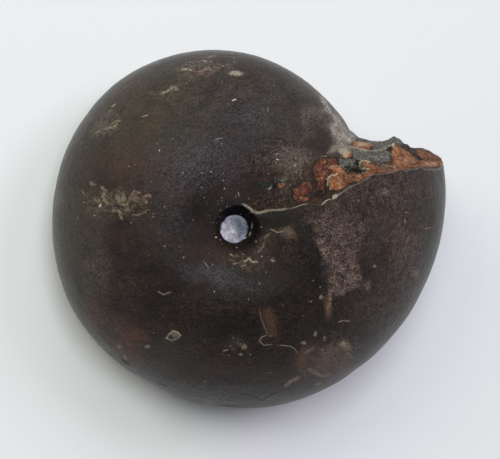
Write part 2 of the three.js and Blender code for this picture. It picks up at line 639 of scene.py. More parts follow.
@dataclass(frozen=True)
class SkinMarks:
    """Where the skin's stains, crusts and crumbs lie on the plan, with the sheen, shade and glints
    painted on it: broad marks, then fine ones.
    """

    olive: Marks = (
        Spot(-12, 15, 12, 7, 30, 1, 0.8), Spot(-21, -2, 4, 11, 0, 0.9, 0.8),
        Spot(8, 15, 7, 5, -20, 0.7, 0.8), Spot(-9, -20, 6, 3, 0, 0.25, 0.8),
        Spot(7, -2.5, 4, 3, 0, 0.4),
    )
    # Darker skin on the lower and right flank and under the lip: partly the stone's own darker brown,
    # partly painted shade where the flank turns away from the lamps and under the lip's overhang.
    deep: Marks = (
        Spot(2, -15, 13, 7.5, 0, 1, 0.5), Spot(-6.5, -9, 5.5, 4.5, 0, 0.9),
        Spot(9.5, -7.5, 3.5, 5.5, 0, 1, 0.5), Spot(19.5, -15, 8, 5, 45, 1, 0.5),
        Spot(26.5, -3, 4.5, 11, 0, 0.8), Spot(2, -10, 4, 2.5), Spot(-5, -4, 3.5, 4.5, 0, 0.6, 0.7),
        Spot(7.5, -1, 3, 1, 5), Spot(10.4, -3.6, 1.3, 3.2, 12, 1, 0.5), Spot(23, -9, 5, 6, 60, 0.8),
        Spot(25, 2, 6, 4, 0, 0.6),
    )
    chalk: Marks = (
        Seam(((13.6, 15.2), (14.5, 14), (15.2, 12.8), (15.9, 11.5), (16.6, 10.3)), 1.1, 1.25),
        Spot(15.4, 9.8, 1.2, 1.3, 0, 0.7, 0.7), Spot(11.8, 13.6, 1, 2, -20, 0.2, 0.8),
        Spot(9.2, 7.6, 3, 1.6, 0, 0.15, 0.8),
    )
    # Where pale specks gather; round the pit and the chips many of them are painted glints.
    specks_and_glints: Marks = (
        Spot(0.8, -19, 1.3, 1.1, 0, 1, 0.4), Spot(15.8, -18.5, 1.2, 2.4, 30, 0.8),
        Spot(14, -20.6, 2.6, 2, 20, 0.7), Spot(12.4, -11, 2.4, 4.5, 0, 0.3, 0.7),
        Spot(8.2, 7.4, 3.6, 2.2, 0, 0.8), Spot(0.8, -5.2, 3.8, 2.4, 0, 0.5),
        Spot(-9, -0.6, 2.2, 1.3, -35, 0.7), Spot(-4.5, 4.5, 5, 4, 0, 0.16),
        Spot(13.8, -16.8, 2.4, 2, 0, 0.35), Spot(21.5, -1.5, 6, 5, 0, 0.3),
        Spot(9.5, 3.4, 3.5, 2, 0, 0.3), Spot(-3, 20, 5, 2, 0, 0.25),
        Spot(0.7, -2, 4.6, 4.4, 0, 0.6, 0.5), Spot(0, -3, 9, 7, 0, 0.1, 0.5),
    )
    gritty: Marks = (
        Spot(22, -3, 13, 11, 0, 1, 0.4), Spot(12, -2.5, 4, 3), Spot(15, -19, 5, 5, 0, 0.7),
        Spot(8, 7, 4.5, 3), Spot(-15, -14, 6, 8, 0, 0.4), Spot(-1, 18, 9, 5, 0, 0.15),
        Spot(10.4, -4.5, 2.6, 3.5, 0, 1, 0.5), Spot(2, -16, 11, 6, 0, 0.8),
        Spot(19, -15, 8, 6, 45, 0.9, 0.5),
    )
    # Glossier, more pebbly skin whose bluish slate tint is painted sheen: the cool window's reflection
    # round the navel and along the bottom edge.
    gloss_and_painted_sheen: Marks = (
        Spot(-4, 6.8, 7, 4.2, 18, 0.7, 0.8), Spot(-7.6, -0.5, 2.2, 7, 0, 0.35, 0.8),
        Spot(-2.2, -8.8, 5.5, 1.5, -14), Spot(-2, -25.2, 12, 1, -3, 0.5, 0.7),
        Spot(3.5, 14, 6.5, 4.5, 0, 0.5, 0.8),
    )
    stains: Marks = (
        Spot(-14.2, -17.7, 2.6, 2.7, 0, 1, 0.5), Spot(-18.6, -14.8, 2.2, 1.6, -45, 0.75),
        Spot(-11.8, 12.7, 1.5, 1.5, 0, 0.4), Spot(6, -15.6, 1, 2, 14, 0.6, 0.5),
        Spot(14.3, -20.8, 2.9, 2.2, 20, 0.65, 0.5), Spot(13.9, -13.6, 0.7, 1.6, 5, 0.8, 0.5),
        Spot(10.2, -20.7, 0.8, 1.4, -15, 0.8, 0.35), Spot(-3, 20, 1.2, 0.7, 0, 0.8),
        Spot(0.8, -5, 3.8, 1.9, 0, 0.4, 0.8), Spot(-14, 7.3, 3.5, 2.5, 0, 0.4, 0.9),
        Spot(-14.5, 16.6, 3, 1, 35, 0.4, 0.8), Spot(-10.7, 16.4, 1.2, 0.4, 5, 0.6),
        Spot(22.8, -3, 1.8, 2.4, 0, 0.35, 0.8),
        Seam(((1, 1.9), (1.5, 3.4), (2.5, 4.6), (4.4, 5), (6, 5.4)), 0.35, 0.35),
        Seam(((5.7, 5.2), (6.6, 5.9), (7.8, 5.8), (8.6, 5.1), (8.3, 4.3), (7.3, 3.9)), 0.4, 0.8),
    )
    grain: Marks = (
        Spot(14.4, -2.8, 3.1, 3.3, 0, 0.75, 0.2), Spot(13.9, -5.2, 1.7, 2.1, 20, 1, 0.25),
        Spot(17.4, -3.2, 2.4, 3.6, 0, 0.65, 0.4), Spot(17, -6.3, 2.3, 2.2, 0, 0.85, 0.35),
        Spot(16.9, -9.2, 2.5, 2.6, 15, 1.15, 0.2), Spot(21.5, -2, 4, 5, 0, 0.38, 0.9),
        Spot(24.8, -5.5, 3, 7.5, 0, 0.55, 0.7), Spot(22, -14, 5, 4, 40, 0.35, 0.7),
        Spot(23, 3, 6, 2.8, 0, 0.5, 0.7), Spot(14, -20.8, 3.2, 2.4, 0, 0.45),
        Spot(8.6, -2.6, 1, 1.5, -20, 0.6, 0.35),
    )
    crusts: Marks = (
        Spot(-15.2, 1.2, 4.8, 2.3, 0, 1, 0.8), Spot(-17, 12.4, 2.6, 1.5, 14, 0.9, 0.8),
        Spot(-8.4, 17.2, 2.2, 0.9, 20, 0.7, 0.8), Spot(-3.8, 20.6, 4.2, 1.6, 6, 0.9, 0.8),
        Spot(14.8, 12.4, 1.8, 4, 25, 0.8, 0.8), Spot(16.5, -19.6, 1.9, 2.7, 30, 1, 0.8),
        Spot(14.2, -20.6, 2.6, 2.2, 20, 0.9, 0.8), Spot(14.1, -12.8, 0.9, 2.3, 5, 0.8, 0.8),
        Spot(12.8, -22.9, 2.2, 0.8, -15, 1, 0.8), Spot(2, -7, 2.8, 0.7, 0, 0.8, 0.8),
        Spot(4.8, -4.6, 0.7, 1.5, -35, 0.8, 0.8), Spot(8.2, 6.9, 3.4, 2, 0, 0.7, 0.8),
        Spot(-18.5, -8.5, 2.6, 3, 60, 0.5, 0.9), Spot(1.2, -18.9, 1.9, 1.5, 0, 0.6, 0.7),
        Spot(25, -5, 2.2, 6, 0, 0.4, 0.9), Spot(8.4, -2.4, 1.2, 1.8, -20, 0.6, 0.7),
        Spot(-14.5, 6.2, 5, 4, 0, 0.25, 0.9),
    )
    tan: Marks = (
        Seam(((-18, 3.6), (-17.4, 3.1), (-17.8, 2.3), (-17.6, 1.7), (-16.9, 1.2)), 0.22, 0.8),
        Seam(((-19, 2), (-18.6, 1.5), (-18.2, 1.9)), 0.13, 0.7), Spot(-19.3, 4.1, 0.45, 0.25, -20, 0.7),
        Seam(((-16, 2.4), (-15.5, 1.9), (-14.8, 1.9), (-14.9, 2.5)), 0.26, 1),
        Seam(((-15.6, 1.6), (-14.8, 1), (-14.3, 1.2)), 0.24, 0.9),
        Seam(((-16.5, 0.3), (-15.8, 0.3), (-15.3, 0), (-15.4, -0.4), (-15, -0.9)), 0.2, 1),
        Seam(((-14.7, 0.4), (-14, 0.4)), 0.2, 0.8),
        Seam(((-13.8, 2.4), (-13.3, 3), (-12.5, 2.7)), 0.18, 0.8),
        Spot(-13.5, 2, 0.7, 0.5, 0, 0.55, 0.7), Seam(((-12, 2.3), (-11.4, 2.5), (-11, 2.2)), 0.18, 0.9),
        Seam(((-11.9, 1.8), (-11.5, 1.3)), 0.2, 0.8),
        Seam(((-13.6, -0.3), (-13, -0.4), (-12.2, -0.1), (-11.4, 0.4)), 0.12, 0.6),
        Seam(((-17.6, 11.8), (-16.9, 12), (-16.2, 12.1), (-15.8, 12.6)), 0.18, 0.9),
        Seam(((-16.7, 12.5), (-16, 12.9), (-15.4, 13)), 0.14, 0.9),
        Seam(((-18.8, 11.2), (-18.3, 11.5)), 0.16, 0.7),
        Seam(((-16.9, 14.3), (-16.6, 14.5)), 0.14, 0.6),
        Seam(((-8.2, 17.5), (-7.8, 17.8), (-7.3, 17.4)), 0.24, 0.9),
        Seam(((-3.6, 20.2), (-3, 20.5), (-2.5, 20.2)), 0.22, 0.8),
        Seam(((-4.2, 20), (-3.6, 20)), 0.14, 0.6), Seam(((-2.8, 22), (-1.9, 22.2)), 0.16, 0.7),
        Seam(((4.4, -13.8), (4.6, -15), (5.3, -16.8), (5.8, -17.5), (6.7, -17.3)), 0.1, 0.45),
        Seam(((11, -19.8), (11.9, -19.2)), 0.15, 0.8),
        Seam(((8, -24.6), (8.8, -23.9), (9.9, -23.4)), 0.26, 0.9),
        Seam(((11.4, -22.2), (12.4, -22.8), (13.2, -23.2), (14.2, -22.9)), 0.26, 0.9),
        Seam(((14.3, -11.2), (14.4, -12.4), (14.1, -13.6), (14.2, -14.6)), 0.22, 0.75),
        Spot(16.5, -18.9, 0.8, 0.6, -30, 0.8, 0.7),
        Seam(((16.6, -19.8), (17.2, -20.2), (17.5, -20.7)), 0.24, 0.75),
        Spot(26.5, -8.7, 0.45, 0.5, 0, 0.55, 0.8), Seam(((25.5, -3.4), (25.3, -4.1)), 0.16, 0.6),
        Seam(((7.3, -2.5), (8.5, -2.3), (9.4, -3.4)), 0.35, 0.4), Spot(22.2, 3, 0.4, 0.5, 0, 0.6, 0.8),
    )
    brown: Marks = (
        Spot(5.9, -15.5, 0.8, 1.7, 14, 0.6, 0.5), Spot(10.4, -20.8, 0.6, 1.4, -15, 0.9, 0.4),
        Spot(14.1, -13.3, 0.55, 1.3, 5, 0.8, 0.5), Spot(13.2, -21.6, 1.6, 0.9, 25, 0.5, 0.5),
        Spot(8.6, -2.9, 0.6, 1.1, -20, 0.5, 0.5),
    )
    cream: Marks = (
        Spot(1, 19.7, 0.85, 0.32, -3, 1, 0.25),
        Seam(((2, 1.15), (2.7, 0.8), (3.5, 0.2), (4.2, 0)), 0.17, 1),
        Seam(((3.6, 0.1), (4.3, -0.1), (4.8, 0.1), (5.6, 0.3)), 0.19, 1),
        Seam(((5.6, 0.35), (7, 0.4), (8.2, 0.55)), 0.13, 0.8),
        Seam(((-6.6, 20.3), (-5.9, 20.3)), 0.14, 0.8), Seam(((-5.6, 20.3), (-5.2, 20.1)), 0.13, 0.7),
        Seam(((-9.4, 16.9), (-8.8, 17.1), (-8.4, 17.4)), 0.13, 0.7),
        Seam(((-3.6, 21.5), (-3.1, 21.4)), 0.13, 0.6), Seam(((-12.2, 13.6), (-11.5, 13.8)), 0.09, 0.8),
        Seam(((-16.5, 15), (-16.1, 15.3)), 0.11, 0.7),
        Seam(((-8.8, -17.8), (-8.4, -17.2), (-7.9, -16.8), (-7.2, -17), (-6.8, -17.4)), 0.12, 0.8),
        Seam(((-8.8, -17.8), (-8, -18.1), (-7.2, -17.8), (-6.9, -17.5)), 0.1, 0.6),
        Spot(-7.6, -17.3, 0.5, 0.35, 0, 0.45), Seam(((-14.8, -20.3), (-14.5, -20.7)), 0.11, 0.8),
        Spot(-15.5, -19, 0.25, 0.25, 0, 0.5), Spot(-11.5, -19, 0.35, 0.22, 0, 0.5),
        Seam(((5.3, -17.4), (4.6, -17.7), (4.4, -18.2), (5, -18.8), (6, -18.7)), 0.08, 0.5),
        Seam(((7.2, -18.8), (8.6, -18.9), (9.2, -19.2), (9.7, -19.8)), 0.08, 0.5),
        Spot(10.6, -18.5, 0.35, 0.2, 0, 0.6), Spot(12.3, -17.2, 0.18, 0.35, -10, 0.6),
        Spot(13.6, -17.8, 0.15, 0.3, 0, 0.4), Spot(13.1, -12, 0.25, 0.3, 0, 0.5),
        Seam(((15.6, -15.5), (16.3, -15.3), (17, -15.4)), 0.09, 0.7),
        Spot(16.3, -18.6, 0.35, 0.3, 0, 0.8), Seam(((8.4, -24.2), (9.4, -23.6)), 0.1, 0.7),
        Seam(((12.6, -22.9), (13.4, -23.2)), 0.1, 0.7), Spot(12.7, -24.3, 0.5, 0.18, 15, 0.6, 0.7),
        Seam(((-3.5, -6.9), (-2.9, -7.8)), 0.1, 0.4),
        Seam(((2.3, -6.9), (2.9, -6.5), (3.3, -7), (4, -7)), 0.13, 0.8),
        Seam(((0.6, -7.3), (1.3, -7.1)), 0.1, 0.5), Spot(0.4, -6, 0.3, 0.13, -35, 0.6, 0.5),
        Seam(((5.1, -3.6), (5.5, -3.2), (5.9, -2.9)), 0.1, 0.35),
        Seam(((4.2, -5.6), (4.8, -5), (5, -4.2)), 0.1, 0.35),
        Seam(((6, -2.4), (6.9, -2.8), (7.7, -2.7)), 0.09, 0.6), Spot(6.2, -6.8, 0.3, 0.2, -10, 0.5),
        Seam(((2.4, -7.4), (1.8, -7.7)), 0.1, 0.4),
        Seam(((-10, -11.2), (-9.2, -11.6), (-8.3, -11.3)), 0.12, 0.35),
        Spot(2.2, -19, 0.35, 0.35, 0, 0.45, 0.8), Spot(1.7, -20.1, 0.3, 0.18, 0, 0.4, 0.8),
        Spot(-0.4, -19.5, 0.4, 0.12, 15, 0.5), Spot(20.7, -7.6, 0.2, 0.2, 0, 0.6),
        Seam(((27.8, -2.3), (28.7, -2.1)), 0.07, 0.5), Spot(25, -1.2, 0.14, 0.3, 15, 0.45),
        Seam(((-1.9, 10.3), (-1.5, 10.5), (-0.9, 10.5)), 0.07, 0.5),
        Seam(((-20.8, 3.1), (-20.4, 2.6)), 0.1, 0.4),
    )
    # White specks; those round the pit, at (-1, 2.1), (1.4, 2.6), (1, 2.3), (-1.8, -3.5), (3.3, -1.9),
    # (3, -3) and (2.3, -3.6), are painted glints.
    white: Marks = (
        Spot(-18.2, 1, 0.26, 0.1, 50, 1, 0.35), Spot(0.75, 15.95, 0.26, 0.1, 18, 1, 0.35),
        Spot(-9.8, 8.8, 0.09, 0.11, 0, 0.7, 0.5), Spot(-19, -0.4, 0.1, 0.09, 0, 0.4, 0.5),
        Spot(5.6, 14.6, 0.05, 0.3, 10, 0.35, 0.5), Spot(-0.6, 3.4, 0.09, 0.09, 0, 0.8, 0.5),
        Spot(-2.5, 5.8, 0.08, 0.08, 0, 0.8, 0.5), Spot(-1, 2.1, 0.08, 0.08, 0, 0.6, 0.5),
        Spot(1.4, 2.6, 0.06, 0.32, 12, 0.6, 0.5), Spot(1, 2.3, 0.05, 0.2, 20, 0.5, 0.5),
        Spot(-1.8, -3.5, 0.12, 0.09, -30, 0.7, 0.5), Spot(6.9, 7.5, 0.18, 0.09, -20, 0.6, 0.5),
        Spot(9.4, 6.7, 0.25, 0.09, 40, 0.6, 0.5), Spot(9.6, 5.7, 0.1, 0.1, 0, 0.5, 0.5),
        Spot(6.8, 8.3, 0.22, 0.08, 10, 0.4, 0.5), Spot(5.9, 3.5, 0.3, 0.1, 40, 0.3, 0.5),
        Spot(3.3, -1.9, 0.1, 0.45, -6, 0.7, 0.5), Spot(3, -3, 0.1, 0.3, -25, 0.7, 0.5),
        Spot(2.3, -3.6, 0.28, 0.1, 25, 0.6, 0.5), Spot(-2, -11.2, 0.09, 0.09, 0, 0.5, 0.5),
    )
    # Dark cracks and scratches, and painted shadow: the black line along y = 4 at the foot of the break's
    # left plate, the band under the lip at (6.3, 0) and the spot at (-16.2, 11.2).
    dark: Marks = (
        Seam(((7.2, 12.4), (7.9, 12)), 0.13, 0.9),
        Seam(((4.4, 4.1), (5.1, 3.95), (6.2, 3.95), (6.8, 3.7)), 0.28, 1),
        Seam(((10.7, 9.8), (11.5, 9.1), (12.6, 8.4)), 0.14, 0.8),
        Seam(((6, 8.8), (5.2, 8.1), (3.4, 7.2)), 0.09, 0.5), Spot(0.7, -18.8, 0.35, 0.75, 10, 0.8, 0.5),
        Spot(15.1, -0.5, 0.5, 0.3, 0, 0.8, 0.5), Spot(16.4, 1.4, 0.8, 0.4, 30, 0.5, 0.8),
        Spot(20.6, -3.4, 0.8, 2.2, 0, 0.45, 0.8),
        Seam(((10.9, -1.5), (11.3, -3.5), (12.1, -6), (13.5, -7.8), (14, -10)), 0.5, 0.4),
        Seam(((2, -25.6), (3.6, -25.9), (4.6, -26.6), (6.7, -25.5)), 0.09, 0.8),
        Seam(((-1.8, -27.3), (1.4, -27.4)), 0.1, 0.7), Spot(-16.2, 11.2, 0.7, 0.3, 10, 0.6, 0.7),
        Spot(-14.6, -21.2, 0.6, 0.2, -35, 0.7), Spot(-9.2, -24.4, 0.8, 0.15, -15, 0.6),
        Spot(-1, 8, 0.2, 0.1, 40, 0.5), Spot(-9, 5.5, 0.35, 0.2, 0, 0.5, 0.7),
        Spot(9.4, -20.8, 0.1, 1.2, -8, 0.6), Spot(16, -19.9, 0.6, 0.3, 20, 0.5, 0.8),
        Spot(26.3, -6.3, 0.2, 0.5, 0, 0.4, 0.8), Spot(6.3, 0, 2.6, 0.45, 3, 0.75),
        Spot(9.6, -1.7, 0.9, 1.6, 10, 0.5, 0.7),
    )

    def flecks(self) -> list[tuple[Spot, float]]:
        """Break the fine marks up into ovals.

        Returns:
            The ovals, each with its tone from dark (0) to white (1).
        """
        toned = (
            (self.dark, 0),
            (self.brown, 0.25),
            (self.tan, 0.5),
            (self.cream, 0.75),
            (self.white, 1),
        )
        return [(oval, tone) for marks, tone in toned for mark in marks for oval in mark.ovals()]


@dataclass(frozen=True)
class BreakMarks:
    """The scales, crests, hollows and tones of the broken face on the plan, with its painted shade and
    painted highlights.
    """

    scales: tuple[Scale, ...] = (
        # The dark red block and the pale flake across its foot.
        Scale(((12.3, 7.3), (13.2, 7.8), (15.3, 7.6), (15.7, 6.6), (14.4, 5.6), (13.7, 4.5),
               (13.2, 3.1), (12.5, 3.5), (12.3, 4.7), (11.8, 5.5), (11.9, 6.3)), 0.3, 0.9),
        Scale(((14.1, 6.3), (14.9, 6.7), (15.8, 6.4), (16.6, 5.7), (16.5, 5.1), (15.3, 5.4)),
              0.28, 0.1),
        # The round orange scale with its pale crescent, a painted highlight on its upper left edge.
        Scale(((14, 4.8), (14.5, 5.3), (15.3, 5.5), (16.2, 5.1), (16.4, 4.3), (16.1, 3.5),
               (15.3, 3.1), (14.5, 3.2), (14, 3.9)), 0.42, 0.32, edge_highlight=1, edge_highlight_bearing=155),
        # The red lobe beside the lip and the piece under it.
        Scale(((9.9, 4), (10.7, 4.4), (11.5, 4.3), (11.8, 3.8), (11.8, 3), (11.3, 2.6),
               (10.7, 2.4), (9.9, 1.9), (9.3, 1.7), (9, 2.4), (9, 3.2)), 0.4, 0.85),
        Scale(((9.8, 2), (10.6, 2.2), (11.4, 2.2), (11.4, 1.7), (10.6, 1.5), (9.8, 1.6)),
              0.15, 0.75),
        # The long tongue beside the hole, with a painted highlight along its left edge, and the strip
        # along the lip.
        Scale(((18.5, 7.1), (18.9, 7.4), (19.8, 7.2), (20.8, 7), (21.5, 6.5), (21.9, 6),
               (21.3, 5.7), (20.4, 5.9), (19.4, 6.2), (18.7, 6.3)), 0.42, 0.42,
              edge_highlight=1.0, edge_highlight_bearing=180),
        Scale(((16.5, 5.4), (17.7, 5.6), (19.4, 5.4), (19.6, 5), (18.4, 4.4), (17.3, 4.2),
               (16.4, 4.3)), 0.2, 0.55),
        # The wedge at the peak and the block at the tip.
        Scale(((23.2, 9.9), (24, 9.5), (25.2, 8.8), (26, 8), (27.3, 7), (26.2, 6.8),
               (25.2, 6.6), (23.8, 6.4), (23.1, 7), (23, 8.1)), 0.3, 0.38),
        Scale(((26.3, 8.9), (27, 9.1), (28, 8.8), (29, 8.3), (30.2, 7.9), (30.1, 7.4),
               (29, 7.4), (27.6, 7.6), (26.8, 8)), 0.25, 0.6),
        # Small pieces: above the trough, at the mouth of the bowl and near the navel.
        Scale(((15.9, 8.2), (16.5, 8.9), (17.3, 8.6), (17.5, 7.9), (16.6, 7.6)), 0.16, 0.25),
        Scale(((17.4, 10.3), (18.4, 10.2), (19.8, 9.9), (20.5, 9.6), (20.3, 9.2), (19.4, 8.9),
               (18.3, 8.9), (17.5, 9.4)), 0.08, 0.3),
        Scale(((20.6, 6.9), (21.8, 6.5), (23.2, 6.5), (23.2, 6.2), (21.9, 6.1)), 0.14, 0.5),
    )
    crests: Marks = (
        Seam(((17.3, 9.2), (18.6, 8.8), (19.9, 8.6), (21.1, 8.7), (22.2, 9), (23.1, 9.7)),
             0.45, 0.4),
        Seam(((25.2, 9), (26.2, 8.1), (27.2, 7.5), (28.4, 7.2)), 0.25, -0.3),
        Seam(((27.4, 7.1), (29.8, 7)), 0.35, 0.12),
    )
    hollows: Marks = (
        Spot(19.8, 9.8, 2.6, 0.7, -4, -0.35, 0.5), Spot(20.6, 7.6, 3.4, 0.7, -2, -0.6, 0.5),
        Spot(17, 6.8, 1.8, 0.7, -8, -0.65, 0.5), Spot(18.2, 6.4, 0.65, 0.6, 0, -1.1, 0.4),
        Spot(16.4, 11.8, 1.4, 1.2, -40, -0.2), Spot(19.2, 11.1, 2.2, 0.9, -8, -0.55),
        Spot(23.5, 10.8, 1, 1.6, 0, 0.95, 0.7), Spot(25.6, 9.6, 1.4, 1.4, -25, 0.4, 0.7),
        Spot(27.6, 9.2, 1.6, 1.2, -25, 0.35, 0.7), Spot(12.6, 2.7, 1.1, 0.6, 20, -0.35, 0.5),
        Spot(5.8, 4.1, 1.3, 0.28, -4, -0.35, 0.5), Spot(26.1, 9, 0.6, 1.2, 0, -0.35),
        Spot(28.2, 8.9, 1.8, 0.8, -25, 0.25), Spot(13.3, 10.3, 1.5, 1.9, 0, -0.15, 0.3),
        Spot(7.5, 4.9, 1.4, 1, 0, 0.12, 0.3),
    )
    slate: Marks = (
        Spot(20.4, 7.9, 3.2, 0.75, -4, 1, 0.35), Spot(20.8, 10.4, 3.6, 0.6, -4, 1, 0.4),
        Spot(16.9, 6.9, 1.8, 0.75, -6, 1, 0.35), Spot(17, 9.2, 1.6, 1, 0, 0.7, 0.5),
        Spot(21.5, 9.8, 1.9, 0.7, 5, 1, 0.4), Spot(20.2, 8.3, 3.2, 0.7, -2, 1, 0.4),
        Spot(13.3, 10.3, 1.4, 1.8, 0, 1, 0.3), Spot(12.6, 2.7, 1.1, 0.6, 20, 0.3, 0.4),
        Spot(24, 10.4, 1, 0.8, -40, 1, 0.4), Spot(28.4, 9, 2.4, 0.5, -24, 1, 0.4),
        Spot(7.3, 4.9, 1, 0.5, -8, 0.9, 0.4), Spot(3.3, 3.8, 0.9, 0.55, 0, 0.66, 0.4),
    )
    # Painted shade: near black in the hole beside the tongue, in the crevices and hollows between the
    # scales, and along the foot of the left plate.
    painted_shade: Marks = (
        Spot(18.2, 6.7, 0.6, 0.8, 0, 1, 0.3), Spot(17.6, 6.15, 1.3, 0.42, -12, 1, 0.4),
        Seam(((4.1, 4.15), (5.1, 3.95), (6.2, 3.95), (6.9, 3.6)), 0.42), Spot(3.2, 4, 1, 0.5, 0, 0.25),
        Spot(5, 2.7, 3.6, 1.3, 5, 0.24, 0.8), Spot(12.8, 2.6, 0.9, 0.5, 20, 0.5, 0.5),
        Seam(((13.7, 3.3), (13.8, 4.2), (13.9, 4.9)), 0.18),
        Seam(((10.8, 4.3), (11.1, 3.8), (11.5, 3.2)), 0.22, 0.85),
        Seam(((13.9, 7.5), (13.9, 6.6)), 0.16, 0.7), Seam(((12.3, 5.6), (13.2, 5.6)), 0.12, 0.6),
        Seam(((25.2, 9), (26.2, 8.1), (27.2, 7.5)), 0.16, 0.9),
        Seam(((23.1, 9.5), (23, 8.2), (23, 7.2)), 0.2, 0.8),
        Seam(((10.7, 9.7), (11.6, 9), (12.5, 8.5)), 0.16), Seam(((14.3, 3), (15.6, 2.9)), 0.16, 0.6),
        Seam(((16.5, 4.9), (17, 4.6)), 0.12, 0.8),
        Seam(((18.7, 6.1), (19.6, 5.95), (20.6, 5.6), (21.6, 5.5), (22.6, 5.8)), 0.16, 0.75),
        Seam(((16.6, 5.5), (17.8, 5.65), (19, 5.5)), 0.12, 0.5),
        Seam(((15.9, 5.5), (16.5, 4.8), (16.4, 3.9)), 0.13, 0.7),
    )
    # Pale mineral; along the top edges of the flake and of the wedge at the peak it is painted highlight.
    pale: Marks = (
        Spot(16.3, 8.7, 1.4, 0.8, -15, 0.66, 0.8), Spot(16.7, 8.1, 1, 0.7, 0, 0.56, 0.8),
        Spot(14.9, 9.6, 0.8, 1.5, -20, 0.6, 0.8), Spot(28.7, 6.9, 1.7, 0.3, -4, 0.58, 0.8),
        Spot(19, 9.7, 1.5, 0.5, -8, 0.62, 0.8),
        Seam(((15.8, 9.1), (17.3, 9.35), (18.6, 8.9), (19.9, 8.7), (21.1, 8.8), (22.2, 9.1), (23.1, 9.6)),
             0.55, 0.6),
        Seam(((14.2, 6.35), (15, 6.75), (15.9, 6.4)), 0.14, 0.8),
        Seam(((25.4, 8.6), (26.4, 7.8), (27.6, 7.2)), 0.14, 0.6),
        Seam(((12.5, 8.2), (13.2, 8), (14, 8)), 0.16, 0.8),
        Seam(((6.3, 5.7), (7.4, 6), (8.5, 5.6)), 0.14, 0.5), Spot(15, 2.1, 0.35, 0.5, -20, 1, 0.4),
        Spot(5.7, 3.3, 0.5, 0.2, 25, 0.5, 0.4), Spot(23.3, 9.6, 0.25, 0.25, 0, 0.9, 0.5),
        Seam(((21, 7), (22, 6.7), (23.2, 6.55), (24.4, 6.5)), 0.16, 0.7),
    )
    ember: Marks = (
        Spot(11.6, 11.1, 0.55, 0.6, 0, 1, 0.35), Spot(7.3, 3.9, 0.9, 0.35, 10, 0.58),
        Seam(((16.5, 5), (18.5, 5.1), (20.5, 5.8), (22.5, 6.1), (24.5, 6.5), (27, 6.9), (29.8, 7.1)),
             0.9, 0.8),
        Spot(24, 6.9, 1.6, 0.6, -10, 0.75, 0.5), Spot(15.6, 4.8, 1.3, 1.5, 0, 0.9, 0.4),
        Spot(25, 6.9, 3, 0.5, -3, 0.7, 0.5), Spot(28.4, 6.9, 2.2, 0.5, 0, 0.75, 0.5),
        Spot(22, 6.4, 1.5, 0.3, -10, 0.7, 0.5), Spot(4.3, 2.4, 0.6, 0.5, 0, 0.35, 0.8),
    )


# The stone.


def read(items: bpy.types.bpy_prop_collection, name: str, size: int) -> Array:
    """Return a property of every item of a mesh.

    Args:
        items: The mesh's vertices, or an attribute's data.
        name: The property's name.
        size: How many numbers each item has.

    Returns:
        One row an item, or one number an item where the size is 1.
    """
    values = np.empty(size * len(items))
    items.foreach_get(name, values)
    return values.reshape(-1, size) if size > 1 else values


def keep(mesh: bpy.types.Mesh, name: str, kind: str, values: Array) -> None:
    """Keep values at the mesh's vertices.

    Args:
        mesh: The mesh.
        name: The name of the layer that holds them.
        kind: The layer's kind.
        values: One row or one number a vertex.
    """
    layer = mesh.attributes.get(name) or mesh.attributes.new(name, kind, "POINT")
    field_name = {"FLOAT": "value", "FLOAT_VECTOR": "vector", "FLOAT_COLOR": "color"}[kind]
    layer.data.foreach_set(field_name, values.ravel())


